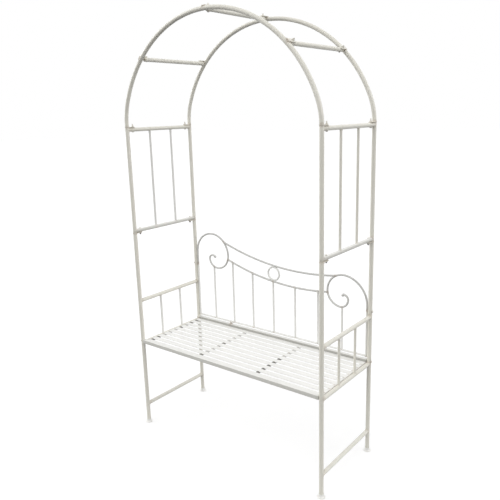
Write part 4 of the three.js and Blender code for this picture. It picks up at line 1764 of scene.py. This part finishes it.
@dataclass(frozen=True)
class Fasteners(Assembly):
    """The bolts, nuts and washers that hold the frames together."""

    arch: Arch
    back: SeatBack
    radius: float = 0.003
    head_radius: float = 0.006
    head_height: float = 0.0036
    socket_radius: float = 0.0021
    nut_radius: float = 0.00575
    nut_height: float = 0.005
    washer_radius: float = 0.0066
    washer_edge: float = 0.0001
    thread_pitch: float = 0.001
    thread_depth: float = 0.00028
    thread_hidden: float = 0.002
    tip_length: float = 0.0008
    upper_tail: float = 0.009
    lower_tail: float = 0.0045
    crossbar_tail: float = 0.005
    stud_cap: float = 0.0016
    clip_cap: float = 0.0014
    sides: int = 24

    @property
    def grip(self) -> float:
        """The thickness that a joint bolt holds between its head and its nut."""
        return 2.0 * self.plan.tube_radius + self.plan.plate_thickness + 3.0 * self.plan.gap

    def _hexagon(self, radius: float) -> Array:
        """Draws a hexagon.

        Args:
            radius: The radius of its corners.

        Returns:
            Its radius at each of the section's angles.
        """
        angles = np.linspace(0.0, 2.0 * math.pi, self.sides, endpoint=False)
        within = np.mod(angles, math.pi / 3.0) - math.pi / 6.0
        return radius * math.cos(math.pi / 6.0) / np.cos(within)

    def add_bolt(self, sketch: Sketch, origin: Array, axis: Array, length: float, thread: float) -> None:
        """Adds a bolt with a domed head and a hexagon socket.

        Args:
            sketch: The piece's sketch.
            origin: The middle of the head's flat side.
            axis: The direction from the head along the shank.
            length: The length under the head.
            thread: How much of that is threaded, up to the tip.
        """
        socket, head = self._hexagon(self.socket_radius), self.head_height
        rows: list[tuple] = [(socket * 0.96, -head * 0.45), (socket, -head * 0.93)]
        rows.append((self.socket_radius * 1.14, -head))
        for turn in np.linspace(0.27, 0.5, 7) * math.pi:
            rows.append((self.head_radius * math.sin(turn), -head * math.cos(turn) ** 0.8 * 0.995))
        rows += [(self.head_radius * 0.97, 0.0), (self.radius, 0.0), (self.radius, length - thread)]
        turns = np.linspace(0.0, 1.0, self.sides, endpoint=False)
        steps = max(8, int(thread / self.thread_pitch * 5))
        for place in np.linspace(0.0, thread - self.tip_length, steps):
            phase = np.mod(place / self.thread_pitch - turns, 1.0)
            groove = self.thread_depth * np.abs(2.0 * phase - 1.0)
            rows.append((self.radius - groove, length - thread + place))
        rows.append((self.radius * 0.72, length))
        sketch.lathe(rows, origin, axis, self.sides)

    def add_nut(self, sketch: Sketch, origin: Array, axis: Array, cap: float = 0.0) -> None:
        """Adds a hexagon nut with rounded corners, and the thin washer under it.

        Args:
            sketch: The piece's sketch.
            origin: The middle of the nut's seat.
            axis: The direction away from the seat.
            cap: The height of the dome that closes the nut, or zero for an open one.
        """
        thick, rim, edge = self.plan.gap * 1.3, self.washer_radius, self.washer_edge
        washer = [(self.radius, 0.0), (rim - edge, 0.0), (rim, thick * 0.4), (rim, thick * 0.7)]
        washer += [(rim - edge, thick), (self.radius, thick)]
        sketch.lathe(washer, origin - axis * self.plan.gap, axis, self.sides)
        corners = self._hexagon(self.nut_radius)
        flat = self.nut_radius * math.cos(math.pi / 6.0)
        chamfer = (corners - flat * 0.94) * 0.55
        height = self.nut_height - cap
        rows: list[tuple] = [(flat * 0.94, 0.0), (corners, chamfer)]
        rows += [(corners, height - chamfer), (flat * 0.94, height)]
        if cap:
            for turn in np.linspace(0.1, 1.4, 6):
                rows.append((flat * 0.86 * math.cos(turn), height + cap * math.sin(turn)))
        else:
            rows += [(self.radius * 1.14, height), (self.radius * 0.98, height - LAP)]
        sketch.lathe(rows, origin, axis, self.sides)

    def _joint_bolt(self, node: str, head: Array, axis: Array, tail: float, look: Look) -> None:
        """Builds and dresses a bolt with its washer and nut.

        Args:
            node: The name of the node that it stands for.
            head: The middle of the head's flat side.
            axis: The direction from the head along the shank.
            tail: How much thread stands past the nut.
            look: The finish that it takes.
        """
        sketch = Sketch()
        length = self.grip + self.nut_height + tail
        self.add_bolt(sketch, head, axis, length, tail + self.thread_hidden)
        self.add_nut(sketch, head + axis * self.grip, axis)
        self.shop.remake("threaded", node, sketch, look)

    def _side_bolts(self, side: Side, row: Row) -> None:
        """Builds and dresses the three bolts at one post.

        Args:
            side: The post's side.
            row: The post's row.
        """
        plan, place = self.plan, f"{row.label}_{side.label}"
        reach = plan.tube_radius + plan.gap
        lower, upper = (
            point(side.value * plan.half_span, row.value * plan.bolt_offset, height)
            for height in (plan.trellis_low + reach, plan.trellis_high - reach)
        )
        # The lower bolts take the painted shade under the rail.
        self._joint_bolt(f"lower_joint_bolt_{place}", lower, -UP, self.lower_tail, Look.TARNISHED)
        self._joint_bolt(f"upper_joint_bolt_{place}", upper, UP, self.upper_tail, Look.FASTENERS)
        node, out, sketch = f"seat_bolt_{place}", ALONG * side.value, Sketch()
        low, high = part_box(node)
        length = high.x - low.x - self.head_height
        head = plan.post(side, row, plan.seat_height) + out * (plan.leg_radius + plan.gap)
        self.add_bolt(sketch, head, -out, length, length * 0.5)
        self.shop.remake("threaded", node, sketch, Look.FASTENERS)

    def build(self) -> None:
        """Builds and dresses every fastener."""
        plan, back = self.plan, self.back
        for side in Side:
            for row in Row:
                self._side_bolts(side, row)
        for place, turn in self.arch.crossbar_places():
            centre, _, out = self.arch.local(turn)
            for row in Row:
                y = row.value * (plan.half_depth - self.arch.bolt_inset)
                head = centre + INWARD * y - out * (plan.tube_radius + plan.gap)
                node = f"crossbar_bolt_{place}_{row.label}"
                self._joint_bolt(node, head, out, self.crossbar_tail, Look.FASTENERS)
        rail_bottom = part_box("seat_rail_back")[0].z
        for side in Side:
            out = ALONG * side.value
            post = plan.post(side, Row.BACK, back.stud(side)[2]) + out * (plan.leg_radius + plan.gap)
            clip = point(side.value * back.clip_x, back.y, rail_bottom - plan.gap)
            nuts = (("stile", post, out, self.stud_cap), ("clip", clip, -UP, self.clip_cap))
            for name, seat, axis, cap in nuts:
                sketch = Sketch()
                self.add_nut(sketch, seat, axis, cap)
                self.shop.dress(f"{name}_cap_nut_{side.label}", sketch, Look.FASTENERS)


@dataclass(frozen=True)
class FootCaps(Assembly):
    """The four flared caps that the legs stand in."""

    height: float = 0.019
    rim_radius: float = 0.0175
    rim_height: float = 0.003
    neck_radius: float = 0.0114
    lip_radius: float = 0.001
    floor: float = 0.004
    sides: int = 48

    def _profile(self) -> list[tuple[float, float]]:
        """Draws the cap's section from its underside up, over its lip and down into its socket.

        Returns:
            The radius and the height of each point.
        """
        rim, band, neck, top = self.rim_radius, self.rim_height, self.neck_radius, self.height
        profile = [(rim - 0.0035, 0.0), (rim - 0.0010, 0.0), (rim - 0.0003, 0.0002), (rim, 0.0009)]
        profile += [(rim, band - 0.0007), (rim - 0.0003, band - 0.0002), (rim - 0.0010, band)]
        for turn in np.linspace(0.12, 0.5, 12) * math.pi:
            radius = neck + (rim - 0.0006 - neck) * (1.0 - math.sin(turn)) ** 1.6
            profile.append((radius, band + (top - 0.0022 - band) * (1.0 - math.cos(turn))))
        for turn in np.linspace(-0.35, 0.45, 8) * math.pi:
            radius = neck - 0.0007 + 0.0009 * math.cos(turn)
            profile.append((radius, top - self.lip_radius + self.lip_radius * math.sin(turn)))
        socket = self.plan.leg_radius + self.plan.gap
        return profile + [(socket + 0.0004, top - 0.0001), (socket, top - 0.0006), (socket, self.floor)]

    def build(self) -> None:
        """Builds and dresses the caps."""
        for side in Side:
            for row in Row:
                sketch = Sketch()
                sketch.lathe(self._profile(), self.plan.post(side, row, 0.0), UP, self.sides)
                self.shop.remake("flared", f"foot_cap_{row.label}_{side.label}", sketch, Look.FOOT_CAPS)


@dataclass(frozen=True)
class Lamp:
    """A wide soft lamp. The azimuth runs from +X towards +Y."""

    name: str
    strength: float
    azimuth: float
    elevation: float
    spread: float = 64.0

    def place(self) -> None:
        """Adds the lamp to the scene."""
        data = bpy.data.lights.new(self.name, "SUN")
        data.energy = self.strength
        data.angle = math.radians(self.spread)
        around_z, above = math.radians(self.azimuth), math.radians(self.elevation)
        flat = math.cos(above)
        towards = Vector((flat * math.cos(around_z), flat * math.sin(around_z), math.sin(above)))
        lamp = bpy.data.objects.new(self.name, data)
        lamp.rotation_euler = towards.to_track_quat("Z", "Y").to_euler()
        bpy.context.scene.collection.objects.link(lamp)


@dataclass(frozen=True)
class Studio:
    """The pale floor, the even sky with its soft lamps, and the camera."""

    camera_place: tuple[float, float, float] = (1.668329, -2.090562, 1.633457)
    azimuth: float = 38.25694
    elevation: float = 13.49946
    roll: float = -1.63475
    focal_share: float = 571.671 / 500.0
    sensor: float = 36.0
    floor_half: float = 40.0
    bounce_near: float = 0.34
    bounce_far: float = 0.05
    pool_start: float = 0.5
    pool_end: float = 1.3
    floor_seen: float = 0.50
    floor_lift: float = 0.58
    sky: float = 0.58
    lamps: tuple[Lamp, ...] = (
        Lamp("right_lamp", 1.30, 16.0, 15.0),
        Lamp("left_lamp", 1.42, 195.0, 15.0),
        Lamp("front_lamp", 0.75, 272.0, 38.0),
        Lamp("rear_lamp", 0.20, 90.0, 20.0),
    )

    def camera(self) -> None:
        """Makes the camera at the photograph's viewing angle."""
        a, e, r = (math.radians(angle) for angle in (self.azimuth, self.elevation, self.roll))
        ahead = Vector((-math.sin(a) * math.cos(e), math.cos(a) * math.cos(e), -math.sin(e)))
        level = Vector((math.cos(a), math.sin(a), 0.0))
        upright = level.cross(ahead)
        right = level * math.cos(r) + upright * math.sin(r)
        top = upright * math.cos(r) - level * math.sin(r)
        turned = Matrix((right, top, -ahead)).transposed().to_4x4()
        data = bpy.data.cameras.new("photo_camera")
        data.sensor_width = self.sensor
        data.lens = self.focal_share * self.sensor
        camera = bpy.data.objects.new("photo_camera", data)
        camera.matrix_world = Matrix.Translation(self.camera_place) @ turned
        bpy.context.scene.collection.objects.link(camera)
        bpy.context.scene.camera = camera

    @staticmethod
    def _seen(graph: Graph) -> Socket:
        """Finds the rays that see the background as it is.

        Args:
            graph: The graph of the floor or the sky.

        Returns:
            A mask that is 1 for those rays.
        """
        path = graph.node("LightPath").outputs
        glossy = graph.math("MAXIMUM", path["Is Camera Ray"], path["Is Glossy Ray"])
        return graph.math("MAXIMUM", glossy, path["Is Transmission Ray"])

    def floor(self) -> None:
        """Makes the pale floor, which keeps the object's shadow."""
        mesh = bpy.data.meshes.new("studio_floor")
        half = self.floor_half
        corners = [(-half, -half, 0.0), (half, -half, 0.0), (half, half, 0.0), (-half, half, 0.0)]
        mesh.from_pydata(corners, [], [(0, 1, 2, 3)])
        material = bpy.data.materials.new("studio_floor_white")
        graph = Graph.of(material)
        seen = self._seen(graph)
        place = graph.node("NewGeometry").outputs["Position"]
        away = graph.node("VectorMath", {0: place}, operation="LENGTH").outputs["Value"]
        spread = graph.ramp(away, self.pool_start, self.pool_end)
        bounce = graph.blend(spread, (self.bounce_near,) * 3, (self.bounce_far,) * 3)
        colour = graph.blend(seen, bounce, (self.floor_seen,) * 3)
        diffuse = graph.node("BsdfDiffuse", {"Color": colour})
        lift = graph.node("Emission", {"Strength": graph.times(seen, self.floor_lift)})
        both = graph.node("AddShader", {0: diffuse.outputs[0], 1: lift.outputs[0]})
        graph.node("OutputMaterial", {"Surface": both.outputs[0]})
        mesh.materials.append(material)
        floor = bpy.data.objects.new("studio_floor", mesh)
        bpy.context.scene.collection.objects.link(floor)

    def light(self) -> None:
        """Makes the even sky and the soft lamps."""
        world = bpy.data.worlds.new("studio_sky")
        graph = Graph.of(world)
        colour = graph.blend(self._seen(graph), (self.sky,) * 3, (1.0,) * 3)
        background = graph.node("Background", {"Color": colour, "Strength": 1.0})
        graph.node("OutputWorld", {"Surface": background.outputs[0]})
        bpy.context.scene.world = world
        for lamp in self.lamps:
            lamp.place()

    def build(self) -> None:
        """Makes the whole studio."""
        self.camera()
        self.floor()
        self.light()
        bpy.context.scene.view_settings.view_transform = "Standard"


def main() -> None:
    """Builds the studio and the arbour seat."""
    logging.basicConfig(level=logging.INFO, format="%(name)s %(message)s")
    Studio().build()
    plan, shop = Plan.measured(), Workshop()
    arch, seat, back = Arch(plan, shop), Seat(plan, shop), SeatBack(plan, shop)
    sides = [kind(plan, shop, side) for kind in (SideFrame, TrellisPanel) for side in Side]
    for assembly in (*sides, arch, seat, back):
        assembly.mark()
    for assembly in (*sides, arch, seat, back, Fasteners(plan, shop, arch, back), FootCaps(plan, shop)):
        assembly.build()
    log.info("%d pieces", shop.made)


if __name__ == "__main__":
    main()
